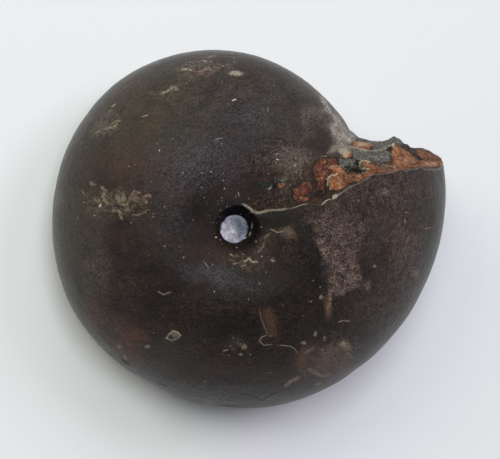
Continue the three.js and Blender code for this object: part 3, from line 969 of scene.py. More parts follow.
@dataclass
class AmmoniteStone:
    """The fossil as one closed stone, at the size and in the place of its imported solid.

    Lengths are in millimetres about the coil's centre until the stone is laid down.
    """

    NODE: ClassVar[str] = "ammonite"
    SLOT: ClassVar[str] = "fossil_stone"
    SKIN_NOTES: ClassVar[tuple[str, ...]] = (
        "olive", "deep", "chalk", "specks_and_glints", "gritty", "gloss_and_painted_sheen", "stains", "grain", "crusts"
    )

    broken: Break = Break()
    sight: Sight = Sight()
    skin_relief: SkinRelief = SkinRelief()
    skin_marks: SkinMarks = SkinMarks()
    break_marks: BreakMarks = BreakMarks()
    turn_steps: int = 290
    face_steps: int = 90
    upper_steps: int = 220
    lower_steps: int = 40
    weld: float = 0.002
    lip_reach: float = 9.0
    lip_fade: float = 40
    foot_fade: float = 7
    relief_start: float = 16
    relief_width: float = 3
    sunk_share: float = 0.5
    grit_size: float = 5
    grit_height: float = 0.05
    rough_size: float = 0.7
    rough_on_skin: float = 0.02
    rough_on_face: float = 0.10
    broken_push: tuple[tuple[float, float], ...] = ((0.9, 0.16), (0.3, 0.07))
    skin_push: tuple[tuple[float, float], ...] = ((2.6, 1.5), (0.8, 0.5))
    base_redness: float = 0.4
    outer_start: float = 14.3
    outer_width: float = 2.0
    pit_margin: float = 0.5
    raw_pit_shift: float = -0.4
    raw_pit_margin: float = 0.6
    stria_squeeze: float = 0.2
    rest_lean: float = math.radians(8.4)
    rest_lean_bearing: float = math.radians(180)
    rest: Matrix = field(init=False, default_factory=Matrix)
    fleck_layers: int = field(init=False, default=0)

    @property
    def coil(self) -> Coil:
        """The coil that the stone is made of."""
        return self.broken.coil

    def build(self) -> bpy.types.Object:
        """Make the fossil.

        Returns:
            The fossil as a mesh object in the row's frame.
        """
        shape = bmesh.new()
        shape.verts.layers.float.new("from_lip")
        shape.verts.layers.float.new("down")
        for side in Side:
            self._add_sheet(shape, side, on_face=False)
            self._add_sheet(shape, side, on_face=True)
        bmesh.ops.remove_doubles(shape, verts=shape.verts, dist=self.weld)
        bmesh.ops.recalc_face_normals(shape, faces=shape.faces)
        mesh = bpy.data.meshes.new("ammonite_stone")
        shape.to_mesh(mesh)
        shape.free()
        self._carve(mesh)
        self._lay_down(mesh)
        mesh.shade_smooth()
        piece = bpy.data.objects.new("ammonite_stone", mesh)
        bpy.context.collection.objects.link(piece)
        return piece

    def _add_sheet(self, shape: bmesh.types.BMesh, side: Side, on_face: bool) -> None:
        """Add one flank's share of the skin or of the break.

        Each vertex notes its distance from the lip, negative on the skin, and its share of the
        way down the break.

        Args:
            shape: The mesh to add to.
            side: The flank.
            on_face: Whether the sheet is the break's face, or else the skin.
        """
        surface = self.broken.face if on_face else self.broken.skin
        made = bmesh.ops.create_grid(
            shape,
            x_segments=self.face_steps if on_face else self.turn_steps,
            y_segments=self.upper_steps if side is Side.UPPER else self.lower_steps,
            size=0.5,
        )
        shares = np.array([vert.co[:2] for vert in made["verts"]]) + 0.5
        points = surface(shares[:, 0], shares[:, 1], side)
        lip = surface(np.zeros(len(shares)), shares[:, 1], side)
        away = np.minimum(np.linalg.norm(points - lip, axis=1), self.lip_reach)
        from_lip = shape.verts.layers.float["from_lip"]
        down = shape.verts.layers.float["down"]
        for vert, point, distance, share in zip(made["verts"], points, away, shares[:, 0]):
            vert.co = point
            vert[from_lip] = distance if on_face else -distance
            vert[down] = share if on_face else 0.0

    def _carve(self, mesh: bpy.types.Mesh) -> None:
        """Work the smooth surface into the stone's own relief, and note its marks on it.

        Args:
            mesh: The stone's mesh, smooth.
        """
        points = read(mesh.vertices, "co", 3)
        down = read(mesh.attributes["down"].data, "value", 1)
        from_axis = np.hypot(points[:, 0], points[:, 1])
        on_face = smooth(down * self.lip_fade) * smooth((1 - down) * self.foot_fade)
        on_face *= smooth(from_axis - self.coil.pit_radius)
        upper = self._upper(points)
        plan = self._ragged_plan(points, on_face)
        near_mouth = smooth((points[:, 0] - self.relief_start) / self.relief_width)
        height = self._break_relief(plan) * mix(upper, 1.0, near_mouth) * on_face
        height += summed(self.skin_relief.dents, plan) * upper
        height += self.skin_relief.flattening(points)
        grit = np.array([noise.fractal(Vector(p) / self.grit_size, 1.0, 2.1, 4) for p in points])
        rough = np.array([noise.fractal(Vector(p) / self.rough_size, 0.8, 2.2, 4) for p in points])
        height += self.grit_height * (grit - 0.5)
        height += (self.rough_on_skin + self.rough_on_face * on_face) * rough
        points = points + read(mesh.vertices, "normal", 3) * height[:, None]
        self._write(mesh, points)
        self._note_marks(mesh, points, on_face)

    def _upper(self, points: Array) -> Array:
        """Return how much points belong to the upper flank."""
        return smooth(points[:, 2] / 2 + 0.5)

    def _break_relief(self, plan: Array) -> Array:
        """Return the height of the break's hollows, crests and scales.

        Args:
            plan: Places on the plan.

        Returns:
            The height at each place. A scale fills the part of a hollow that it lies on.
        """
        marks = self.break_marks
        relief = summed(marks.hollows + marks.crests, plan)
        for scale in marks.scales:
            inside = scale.inside(plan)
            sunk = relief * (1 - self.sunk_share * scale.cover(inside))
            relief = np.maximum(relief, sunk + scale.height(inside))
        return relief

    def _pushed_plan(self, points: Array, size: float, reach: float) -> Array:
        """Return places on the plan, pushed about by noise so that marks there come out ragged.

        Args:
            points: Points about the coil's centre.
            size: Size of the noise's lumps.
            reach: How far a place can be pushed.

        Returns:
            The places.
        """
        push = np.array([noise.noise_vector(Vector(point) / size)[:2] for point in points])
        return self.sight.plan(points) + push * reach

    def _ragged_plan(self, points: Array, on_face: Array) -> Array:
        """Return places on the plan, pushed about on the break so that its pieces look broken.

        Args:
            points: Points about the coil's centre.
            on_face: How much each belongs to the break.

        Returns:
            The places.
        """
        plan = self.sight.plan(points)
        broken = on_face > 0.01
        for size, reach in self.broken_push:
            plan[broken] += self._pushed_plan(points[broken], size, reach)
            plan[broken] -= self.sight.plan(points[broken])
        return plan

    def _note_marks(self, mesh: bpy.types.Mesh, points: Array, on_face: Array) -> None:
        """Keep, at each vertex, what the finish needs to know of the marks there.

        Args:
            mesh: The stone's mesh.
            points: Its carved points.
            on_face: How much each point belongs to the break.
        """
        from_axis = np.hypot(points[:, 0], points[:, 1])
        past_pit = from_axis > self.coil.pit_radius + self.pit_margin
        from_lip = read(mesh.attributes["from_lip"].data, "value", 1)
        upper = self._upper(points)
        plug = self.coil.on_plug(points) * upper
        plan = self._ragged_plan(points, on_face)
        notes = {
            "from_lip": np.where(past_pit, from_lip, self.lip_reach),
            "upper": upper,
            "on_face": on_face,
            "plug": plug,
            **self._break_notes(plan),
        }
        loose = sum(self._pushed_plan(points, *push) for push in self.skin_push) - plan
        for name in self.SKIN_NOTES:
            notes[name] = strongest(getattr(self.skin_marks, name), loose) * (upper - plug)
        for name, values in notes.items():
            keep(mesh, name, "FLOAT", values)
        spiral = np.column_stack([points[:, :2] * self.stria_squeeze, from_axis + points[:, 2]])
        keep(mesh, "coil", "FLOAT_VECTOR", points)
        keep(mesh, "spiral", "FLOAT_VECTOR", spiral)
        layers = FleckLayers().share_out(self.skin_marks.flecks(), self.sight.plan(points))
        for index, values in enumerate(layers):
            values[:, 2] *= upper
            keep(mesh, f"flecks_{index}", "FLOAT_COLOR", values)
        self.fleck_layers = len(layers)
        self._set_raw(mesh, points, on_face)

    def _break_notes(self, plan: Array) -> dict[str, Array]:
        """Return the notes on the break's mineral, and on the shade and highlights painted on it.

        Args:
            plan: Places on the plan, ragged on the break.

        Returns:
            The notes, by name.
        """
        marks = self.break_marks
        ember = strongest(marks.ember, plan)
        redness = np.full(len(plan), self.base_redness)
        edge_highlight = np.zeros(len(plan))
        scale_edge_shade = np.zeros(len(plan))
        for scale in marks.scales:
            inside = scale.inside(plan)
            cover = scale.cover(inside)
            ember = np.maximum(ember, cover)
            redness = mix(redness, scale.redness, cover)
            # Painted highlight along each scale's edge.
            edge_highlight = np.maximum(edge_highlight * (1 - cover), scale.edge_highlight_cover(plan, inside))
            # Painted shade in the crevice round each scale.
            scale_edge_shade = np.maximum(scale_edge_shade * (1 - cover), scale.outline(inside))
        return {
            "ember": ember,
            "redness": redness,
            "scale_edge_shade": scale_edge_shade,
            "slate": strongest(marks.slate, plan),
            "painted_shade": strongest(marks.painted_shade, plan),
            # Pale mineral, with the painted highlights along the scales' edges.
            "pale": np.maximum(strongest(marks.pale, plan), edge_highlight),
            "outer": smooth((plan[:, 0] - self.outer_start) / self.outer_width),
        }

    def _set_raw(self, mesh: bpy.types.Mesh, points: Array, on_face: Array) -> None:
        """Give the second finish to the faces whose corners all lie on the break or in the pit.

        Args:
            mesh: The stone's mesh.
            points: Its points.
            on_face: How much each point belongs to the break.
        """
        from_pit = np.hypot(points[:, 0], points[:, 1] - self.raw_pit_shift)
        in_pit = (from_pit < self.coil.pit_radius + self.raw_pit_margin) & (points[:, 2] > 0)
        raw = (on_face > 0.5) | in_pit
        first = np.empty(len(mesh.polygons), dtype=int)
        corners = np.empty(len(mesh.loops), dtype=int)
        mesh.polygons.foreach_get("loop_start", first)
        mesh.loops.foreach_get("vertex_index", corners)
        all_raw = np.logical_and.reduceat(raw[corners], first)
        mesh.polygons.foreach_set("material_index", all_raw.astype(int))

    def _write(self, mesh: bpy.types.Mesh, points: Array) -> None:
        """Move the mesh's vertices to the points."""
        mesh.vertices.foreach_set("co", points.ravel())
        mesh.update()

    def _lay_down(self, mesh: bpy.types.Mesh) -> None:
        """Lean the coil on to its lower flank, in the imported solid's box, and rub it flat.

        Args:
            mesh: The stone's mesh, in millimetres; it comes out in metres.
        """
        hinge = (-math.sin(self.rest_lean_bearing), math.cos(self.rest_lean_bearing), 0.0)
        lean = Matrix.Rotation(self.rest_lean, 4, Vector(hinge)) @ Matrix.Scale(MM, 4)
        mesh.transform(lean)
        points = read(mesh.vertices, "co", 3)
        low, high = points.min(axis=0), points.max(axis=0)
        cad_low, cad_high = (np.array(corner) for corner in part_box(self.NODE))
        shift = np.append(((cad_low + cad_high) / 2 - (low + high) / 2)[:2], cad_high[2] - high[2])
        self.rest = Matrix.Translation(Vector(shift)) @ lean
        self._write(mesh, np.clip(points + shift, cad_low, cad_high))

    def dress(self, piece: bpy.types.Object) -> None:
        """Give the stone its finishes and tie it to its body.

        Args:
            piece: The stone.
        """
        flecks = FleckCoat(self.fleck_layers)
        coats = (StainCoat(), GrainCoat(), PearlCoat(), BreakCoat(), CrustCoat(), flecks)
        for finish in (StoneFinish(coats), StoneFinish(coats, name="fossil_raw", sheen=0.0)):
            piece.data.materials.append(finish.build())
        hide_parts(self.NODE)
        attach(piece, "root")


# Its finish.


@dataclass(frozen=True)
class Cloud:
    """Soft noise: the size of its lumps in millimetres, how many times finer lumps are added,
    how strong those are, and the seed that picks the noise.
    """

    size: float
    detail: float
    rough: float
    seed: float = 0.0

    def shift(self) -> tuple[float, float, float]:
        """Return the way to the seed's own part of the noise."""
        return (self.seed * 13.7, self.seed * 7.3, self.seed * 3.1)


@dataclass(frozen=True)
class Specks:
    """Small ragged specks, one at most in each cell of a grid: the size of the cells in
    millimetres, how far the largest outgrow the smallest, and the seed that picks them.
    """

    size: float
    spread: float
    seed: float

    def shift(self) -> tuple[float, float, float]:
        """Return the way to the seed's own part of the grid."""
        return (self.seed * 5.7, self.seed * 11.3, self.seed * 2.1)


@dataclass(frozen=True)
class Desk:
    """Shorthand for laying out the nodes of one finish."""

    tree: bpy.types.NodeTree
    speck_edge: Cloud = Cloud(0.16, 2, 0.6)
    speck_raggedness: float = 0.3
    speck_reach: tuple[float, float] = (0.22, 0.12)

    @cached_property
    def place(self) -> Socket:
        """The place on the piece, in millimetres."""
        return self.lit(self.add("ShaderNodeTexCoord").outputs["Object"], 1 / MM)

    @cached_property
    def upper(self) -> Socket:
        """How much the place belongs to the upper flank."""
        return self.note("upper")

    @cached_property
    def hidden(self) -> Socket:
        """How much the place belongs to the lower flank."""
        return self.maths("SUBTRACT", 1.0, self.upper)

    def add(self, kind: str, **settings: object) -> Node:
        """Add a node.

        Args:
            kind: The node's type.
            **settings: Its properties by lower-case name, and its inputs by their own names,
                with underscores for spaces. An input takes a value or a socket.

        Returns:
            The node.
        """
        node = self.tree.nodes.new(kind)
        sockets = {}
        for name, value in settings.items():
            if hasattr(node, name):
                setattr(node, name, value)
            else:
                sockets[name.replace("_", " ")] = value
        for name, value in sockets.items():
            self.feed(node.inputs[name], value)
        return node

    def feed(self, socket: Socket, value: object) -> None:
        """Fill an input.

        Args:
            socket: The input.
            value: A socket to join to it, or the value to set it to.
        """
        if isinstance(value, Socket):
            self.tree.links.new(value, socket)
        else:
            socket.default_value = value

    def fed(self, kind: str, *values: object, **settings: object) -> Node:
        """Add a node whose inputs are filled in their own order.

        Args:
            kind: The node's type.
            *values: What fills its first inputs.
            **settings: Its properties.

        Returns:
            The node.
        """
        node = self.add(kind, **settings)
        for socket, value in zip(node.inputs, values):
            self.feed(socket, value)
        return node

    def note(self, name: str, vector: bool = False) -> Socket:
        """Return a number or a vector kept at the vertices."""
        node = self.add("ShaderNodeAttribute", attribute_name=name)
        return node.outputs["Vector" if vector else "Fac"]

    def sum_of(self, *terms: object) -> Socket:
        """Return the sum of two or more terms."""
        return self._chain("ADD", terms)

    def product(self, *terms: object) -> Socket:
        """Return the product of two or more terms."""
        return self._chain("MULTIPLY", terms)

    def most(self, *terms: object) -> Socket:
        """Return the greatest of two or more terms."""
        return self._chain("MAXIMUM", terms)

    def _chain(self, operation: str, terms: tuple[object, ...]) -> Socket:
        """Join terms two by two with one operation.

        Args:
            operation: The operation.
            terms: Sockets or numbers.

        Returns:
            The result.
        """
        total = terms[0]
        for term in terms[1:]:
            total = self.maths(operation, total, term)
        return total

    def maths(self, operation: str, first: object, second: object = 0.0) -> Socket:
        """Return the result of one operation on two terms."""
        return self.fed("ShaderNodeMath", first, second, operation=operation).outputs[0]

    def ramp(
        self, value: Socket, low: float, high: float, start: float = 0.0, end: float = 1.0
    ) -> Socket:
        """Return a smooth step between two ends.

        Args:
            value: The value that drives the step.
            low: Where the step starts.
            high: Where it ends; it may lie under low.
            start: The result at low.
            end: The result at high.

        Returns:
            The result.
        """
        limits = {"From Min": low, "From Max": high, "To Min": start, "To Max": end}
        node = self.add("ShaderNodeMapRange", interpolation_type="SMOOTHSTEP", Value=value)
        for name, limit in limits.items():
            self.feed(node.inputs[name], limit)
        return node.outputs[0]

    def blend(self, share: object, under: object, over: object) -> Socket:
        """Lay one colour over another.

        Args:
            share: How much of the upper colour covers the lower one.
            under: The lower colour.
            over: The upper colour.

        Returns:
            The colour that shows.
        """
        node = self.add("ShaderNodeMix", data_type="RGBA")
        for index, value in ((0, share), (6, under), (7, over)):
            self.feed(node.inputs[index], value)
        return node.outputs[2]

    def between(self, share: object, low: object, high: object) -> Socket:
        """Go part of the way from one number to another.

        Args:
            share: How far to go.
            low: The first number.
            high: The second number.

        Returns:
            The number there.
        """
        node = self.add("ShaderNodeMix", data_type="FLOAT")
        for index, value in ((0, share), (2, low), (3, high)):
            self.feed(node.inputs[index], value)
        return node.outputs[0]

    def offset(self, value: Socket, step: float) -> Socket:
        """Return a number moved by a step."""
        return self.maths("ADD", value, step)

    def fold(self, value: Socket, middle: float = 0.5) -> Socket:
        """Return how far a number is from a middle one, which draws veins through noise."""
        return self.maths("ABSOLUTE", self.offset(value, -middle))

    def lit(self, colour: Socket, gain: object) -> Socket:
        """Return a colour made brighter, or a vector made longer, by a gain."""
        node = self.add("ShaderNodeVectorMath", operation="SCALE", Vector=colour, Scale=gain)
        return node.outputs[0]

    def moved(self, place: Socket, shift: tuple[float, float, float]) -> Socket:
        """Return a place moved by a shift."""
        return self.fed("ShaderNodeVectorMath", place, shift, operation="ADD").outputs[0]

    def noise(self, place: Socket, cloud: Cloud) -> Node:
        """Add the noise of a cloud.

        Args:
            place: Where it is read.
            cloud: Its sizes.

        Returns:
            The noise's node.
        """
        sizes = {"Scale": 1 / cloud.size, "Detail": cloud.detail, "Roughness": cloud.rough}
        return self.add("ShaderNodeTexNoise", Vector=place, **sizes)

    def cloud(self, cloud: Cloud) -> Socket:
        """Return a cloud's noise over the piece, from 0 to 1."""
        return self.noise(self.moved(self.place, cloud.shift()), cloud).outputs["Fac"]

    def jitter(self, cloud: Cloud) -> Socket:
        """Return a push in any direction, of up to half a unit, from a cloud's noise."""
        push = self.noise(self.moved(self.place, cloud.shift()), cloud).outputs["Color"]
        return self.moved(push, (-0.5, -0.5, -0.5))

    def pushed(self, place: Socket, push: Socket, reach: tuple[float, float, float]) -> Socket:
        """Return a place moved by a push that is stretched to a reach."""
        nudged = self.fed("ShaderNodeVectorMath", push, reach, place, operation="MULTIPLY_ADD")
        return nudged.outputs[0]

    def specks(self, specks: Specks, density: object) -> Socket:
        """Scatter specks.

        Args:
            specks: Their sizes.
            density: Share of the cells that hold one.

        Returns:
            1 on a speck and 0 off it.
        """
        place = self.moved(self.place, specks.shift())
        node = self.add("ShaderNodeTexVoronoi", Vector=place, Scale=1 / specks.size)
        shares = self.add("ShaderNodeSeparateColor", Color=node.outputs["Color"])
        edge = self.cloud(replace(self.speck_edge, seed=specks.seed))
        ragged = self.sum_of(node.outputs["Distance"], self.product(edge, self.speck_raggedness))
        reach = self.product(shares.outputs[1], specks.spread)
        dot = self.ramp(self.maths("SUBTRACT", ragged, reach), *self.speck_reach)
        return self.product(dot, self.maths("LESS_THAN", shares.outputs[0], density))

    def oval(self, place: Socket, spot: Spot) -> Socket:
        """Return how strongly an oval covers a place.

        Args:
            place: The place on the plan.
            spot: The oval.

        Returns:
            The strength there.
        """
        seen = self.add("ShaderNodeMapping", vector_type="TEXTURE", Vector=place)
        seen.inputs["Location"].default_value = (spot.x, spot.y, 0.0)
        seen.inputs["Rotation"].default_value = (0.0, 0.0, math.radians(spot.turn))
        seen.inputs["Scale"].default_value = (spot.long, spot.short, 1.0)
        away = self.add("ShaderNodeVectorMath", operation="LENGTH", Vector=seen.outputs[0])
        return self.ramp(away.outputs["Value"], 1 + spot.edge, 1 - spot.edge, 0.0, spot.strength)


@dataclass(frozen=True)
class Look:
    """The colour, roughness and height, in millimetres, of the surface so far."""

    colour: Socket
    roughness: Socket
    height: Socket


@dataclass(frozen=True)
class SkinCoat:
    """The dark brown skin, with an olive cast, a bluish slate tint painted as sheen, fine pebbles and
    faint growth lines.

    Gains come in pairs, from the darkest grain to the palest: on smooth skin and on gritty skin.
    """

    umber: Colour = tint(46, 35, 31)
    dark: Colour = tint(31, 24, 22)
    warm: Colour = tint(56, 36, 31)
    olive: Colour = tint(60, 54, 45)
    # Painted sheen: the bluish reflection of the cool window on the glossier skin.
    slate: Colour = tint(66, 61, 68)
    chalk: Colour = tint(176, 164, 152)
    broad: Cloud = Cloud(7.0, 3, 0.6)
    patches: Cloud = Cloud(1.8, 5, 0.65, 1)
    grain: Cloud = Cloud(0.28, 4, 0.75, 2)
    far_olive: Cloud = Cloud(9.0, 2, 0.5, 4)
    pebbles: Cloud = Cloud(0.5, 2, 0.5, 3)
    waves: Cloud = Cloud(2.6, 3, 0.5, 5)
    roughness: float = 0.56
    smooth_grain: tuple[float, float] = (0.72, 1.36)
    gritty_grain: tuple[float, float] = (0.06, 2.6)
    smooth_lines: tuple[float, float] = (0.92, 1.08)
    gritty_lines: tuple[float, float] = (0.70, 1.34)
    # How dark the skin goes where deep is noted; partly painted shade.
    deep_gain: float = 0.48
    line_fineness: float = 2.4
    pebble_height: float = 0.055
    slate_pebble_height: float = 0.09
    grain_height: float = 0.045
    wave_height: float = 0.10
    line_height: float = 0.025

    def lay(self, desk: Desk) -> Look:
        """Lay the bare skin.

        Args:
            desk: Where the nodes go.

        Returns:
            The skin's look.
        """
        patch = desk.cloud(self.patches)
        grain = desk.cloud(self.grain)
        lines = self._lines(desk)
        # Where the skin is glossier, and where its sheen is painted as a bluish tint.
        slate = desk.note("gloss_and_painted_sheen")
        colour = self._cast(desk, patch, desk.between(0.28, grain, lines), slate)
        colour = desk.lit(colour, self._gain(desk, grain, lines))
        dust = desk.product(desk.note("chalk"), desk.ramp(grain, 0.37, 0.58), 0.85)
        colour = desk.blend(dust, colour, self.chalk)
        rough = desk.ramp(patch, 0.35, 0.7, self.roughness - 0.06, self.roughness + 0.08)
        rough = desk.between(slate, rough, self.roughness - 0.10)
        pebbles = desk.between(slate, self.pebble_height, self.slate_pebble_height)
        height = desk.sum_of(
            desk.product(desk.cloud(self.pebbles), pebbles),
            desk.product(grain, self.grain_height),
            desk.product(desk.cloud(self.waves), self.wave_height),
            desk.product(lines, self.line_height),
        )
        return Look(colour, rough, height)

    def _cast(self, desk: Desk, patch: Socket, brushed: Socket, slate: Socket) -> Socket:
        """Mix the skin's browns with its olive cast and its bluish slate tint, which is painted sheen.

        Args:
            desk: Where the nodes go.
            patch: Noise of the size of the warm patches.
            brushed: Fine noise, a little drawn out along the coil.
            slate: Where the slate tint, a painted sheen, lies.

        Returns:
            The colour.
        """
        broad = desk.ramp(desk.cloud(self.broad), 0.35, 0.65)
        colour = desk.blend(broad, self.dark, self.umber)
        colour = desk.blend(desk.ramp(patch, 0.48, 0.70, 0.0, 0.7), colour, self.warm)
        far_olive = desk.ramp(desk.cloud(self.far_olive), 0.45, 0.65)
        olive = desk.most(desk.note("olive"), desk.product(far_olive, desk.hidden))
        olive = desk.product(olive, desk.ramp(patch, 0.3, 0.6, 0.5, 0.95))
        colour = desk.blend(olive, colour, self.olive)
        flecks = desk.ramp(brushed, 0.42, 0.60, 0.05, 0.95)
        # Painted sheen: bluish flecks where the window's reflection lies.
        return desk.blend(desk.product(slate, flecks), colour, self.slate)

    def _gain(self, desk: Desk, grain: Socket, lines: Socket) -> Socket:
        """Return how much lighter or darker the grain and the growth lines make the skin.

        Args:
            desk: Where the nodes go.
            grain: The grain's noise.
            lines: The growth lines' noise.

        Returns:
            The gain.
        """
        gritty = desk.note("gritty")
        low, high = (
            desk.between(gritty, *ends) for ends in zip(self.smooth_grain, self.gritty_grain)
        )
        by_grain = desk.between(desk.ramp(grain, 0.38, 0.62), low, high)
        low, high = (
            desk.between(gritty, *ends) for ends in zip(self.smooth_lines, self.gritty_lines)
        )
        by_lines = desk.between(desk.ramp(lines, 0.35, 0.65), low, high)
        # Darker where deep is noted: partly painted shade on the lower and right flank and under the lip.
        by_depth = desk.between(desk.note("deep"), 1.0, self.deep_gain)
        return desk.product(by_grain, by_depth, by_lines)

    def _lines(self, desk: Desk) -> Socket:
        """Draw noise out along the coil, as its faint spiral lines are.

        Args:
            desk: Where the nodes go.

        Returns:
            The noise, from 0 to 1.
        """
        place = desk.note("spiral", vector=True)
        lines = desk.add(
            "ShaderNodeTexNoise", Vector=place, Scale=self.line_fineness, Detail=4, Roughness=0.7
        )
        return lines.outputs["Fac"]


@dataclass(frozen=True)
class StainCoat:
    """Rust stains that soak into the skin."""

    rust: Colour = tint(100, 60, 42)
    deep: Colour = tint(64, 38, 32)
    far_stains: Cloud = Cloud(6.0, 3, 0.5, 7)
    ragged: Cloud = Cloud(1.0, 6, 0.75, 6)
    mottle: Cloud = Cloud(0.45, 4, 0.7, 8)
    share: float = 0.8
    roughness: float = 0.62

    def lay(self, desk: Desk, look: Look) -> Look:
        """Add the stains.

        Args:
            desk: Where the nodes go.
            look: The look under them.

        Returns:
            The look with the stains added.
        """
        hidden = desk.product(desk.ramp(desk.cloud(self.far_stains), 0.56, 0.70), desk.hidden)
        ragged = desk.ramp(desk.cloud(self.ragged), 0.36, 0.60, 0.15, 1.0)
        share = desk.product(desk.most(desk.note("stains"), hidden), ragged)
        mottle = desk.ramp(desk.cloud(self.mottle), 0.35, 0.65)
        stain = desk.blend(mottle, self.deep, self.rust)
        colour = desk.blend(desk.product(share, self.share), look.colour, stain)
        return Look(colour, desk.between(share, look.roughness, self.roughness), look.height)


@dataclass(frozen=True)
class GrainCoat:
    """Pale pinkish grain left where the outermost skin has flaked away."""

    pale: Colour = tint(152, 125, 114)
    under: Colour = tint(43, 33, 32)
    lumps: Cloud = Cloud(0.9, 4, 0.65, 9)
    grit: Cloud = Cloud(0.17, 3, 0.8, 10)
    grain_share: float = 0.8
    under_share: float = 0.85
    height: float = 0.06
    roughness: float = 0.68

    def lay(self, desk: Desk, look: Look) -> Look:
        """Add the grain.

        Args:
            desk: Where the nodes go.
            look: The look under it.

        Returns:
            The look with the grain added.
        """
        lumps = desk.cloud(self.lumps)
        edge = desk.product(desk.note("grain"), desk.ramp(lumps, 0.28, 0.58, 0.35, 1.0))
        grit = desk.cloud(self.grit)
        uneven = desk.sum_of(grit, desk.product(desk.offset(lumps, -0.5), 0.25))
        grains = desk.ramp(uneven, 0.45, 0.64)
        colour = desk.blend(desk.product(edge, self.under_share), look.colour, self.under)
        colour = desk.blend(desk.product(edge, grains, self.grain_share), colour, self.pale)
        height = desk.sum_of(look.height, desk.product(edge, grit, self.height))
        return Look(colour, desk.between(edge, look.roughness, self.roughness), height)


@dataclass(frozen=True)
class CrustCoat:
    """Tan crust in veins and crumbs, with a thin scatter of pale specks, partly painted glints, and pits.
    """

    tan: Colour = tint(138, 114, 88)
    brown: Colour = tint(88, 70, 53)
    cream: Colour = tint(172, 158, 138)
    # The pale specks' colour, which also paints glints.
    dust: Colour = tint(166, 146, 134)
    black: Colour = tint(15, 12, 12)
    far_crusts: Cloud = Cloud(5.0, 3, 0.5, 11)
    veins: Cloud = Cloud(1.3, 5, 0.65, 12)
    crumbs: Cloud = Cloud(0.5, 6, 0.8, 13)
    thickness: Cloud = Cloud(0.28, 4, 0.75, 14)
    lone_specks_and_glints: Specks = Specks(0.5, 0.24, 15)
    lone_crumbs: Specks = Specks(0.5, 0.25, 16)
    pits: Specks = Specks(1.4, 0.1, 17)
    crust_share: float = 0.85
    crumb_share: float = 0.7
    speck_and_glint_share: float = 0.5
    pit_share: float = 0.7
    crust_height: float = 0.06
    pit_height: float = -0.08
    roughness: float = 0.75

    def lay(self, desk: Desk, look: Look) -> Look:
        """Add the crust, the specks and the pits.

        Args:
            desk: Where the nodes go.
            look: The look under them.

        Returns:
            The look with them added.
        """
        hidden = desk.product(desk.ramp(desk.cloud(self.far_crusts), 0.60, 0.72), desk.hidden)
        where = desk.most(desk.note("crusts"), hidden)
        share = desk.product(desk.ramp(where, 0.15, 0.9), self._texture(desk))
        thick = desk.ramp(desk.cloud(self.thickness), 0.4, 0.6)
        tan = desk.blend(thick, self.brown, self.tan)
        colour = desk.blend(desk.product(share, self.crust_share), look.colour, tan)
        crumbs = desk.specks(self.lone_crumbs, desk.product(where, 0.12))
        colour = desk.blend(desk.product(crumbs, self.crumb_share), colour, self.cream)
        # Pale specks, thickest where they are noted; part of them are painted glints.
        density = desk.sum_of(desk.product(desk.note("specks_and_glints"), 0.85), 0.02)
        lone = desk.specks(self.lone_specks_and_glints, density)
        colour = desk.blend(desk.product(lone, self.speck_and_glint_share), colour, self.dust)
        pits = desk.specks(self.pits, 0.08)
        colour = desk.blend(desk.product(pits, self.pit_share), colour, self.black)
        height = desk.sum_of(
            look.height,
            desk.product(share, self.crust_height),
            desk.product(pits, self.pit_height),
        )
        return Look(colour, desk.between(share, look.roughness, self.roughness), height)

    def _texture(self, desk: Desk) -> Socket:
        """Draw the crust's veins and crumbs.

        Args:
            desk: Where the nodes go.

        Returns:
            Their strength, from 0 to 1.
        """
        veins = desk.ramp(desk.fold(desk.cloud(self.veins)), 0.040, 0.008)
        crumbs = desk.ramp(desk.cloud(self.crumbs), 0.53, 0.62)
        return desk.most(desk.product(veins, 0.55), desk.product(crumbs, 0.6))


@dataclass(frozen=True)
class FleckTone:
    """The colour of one tone of fleck, and how much it is broken up into threads."""

    place: float
    colour: Colour
    threads: float = 0.0


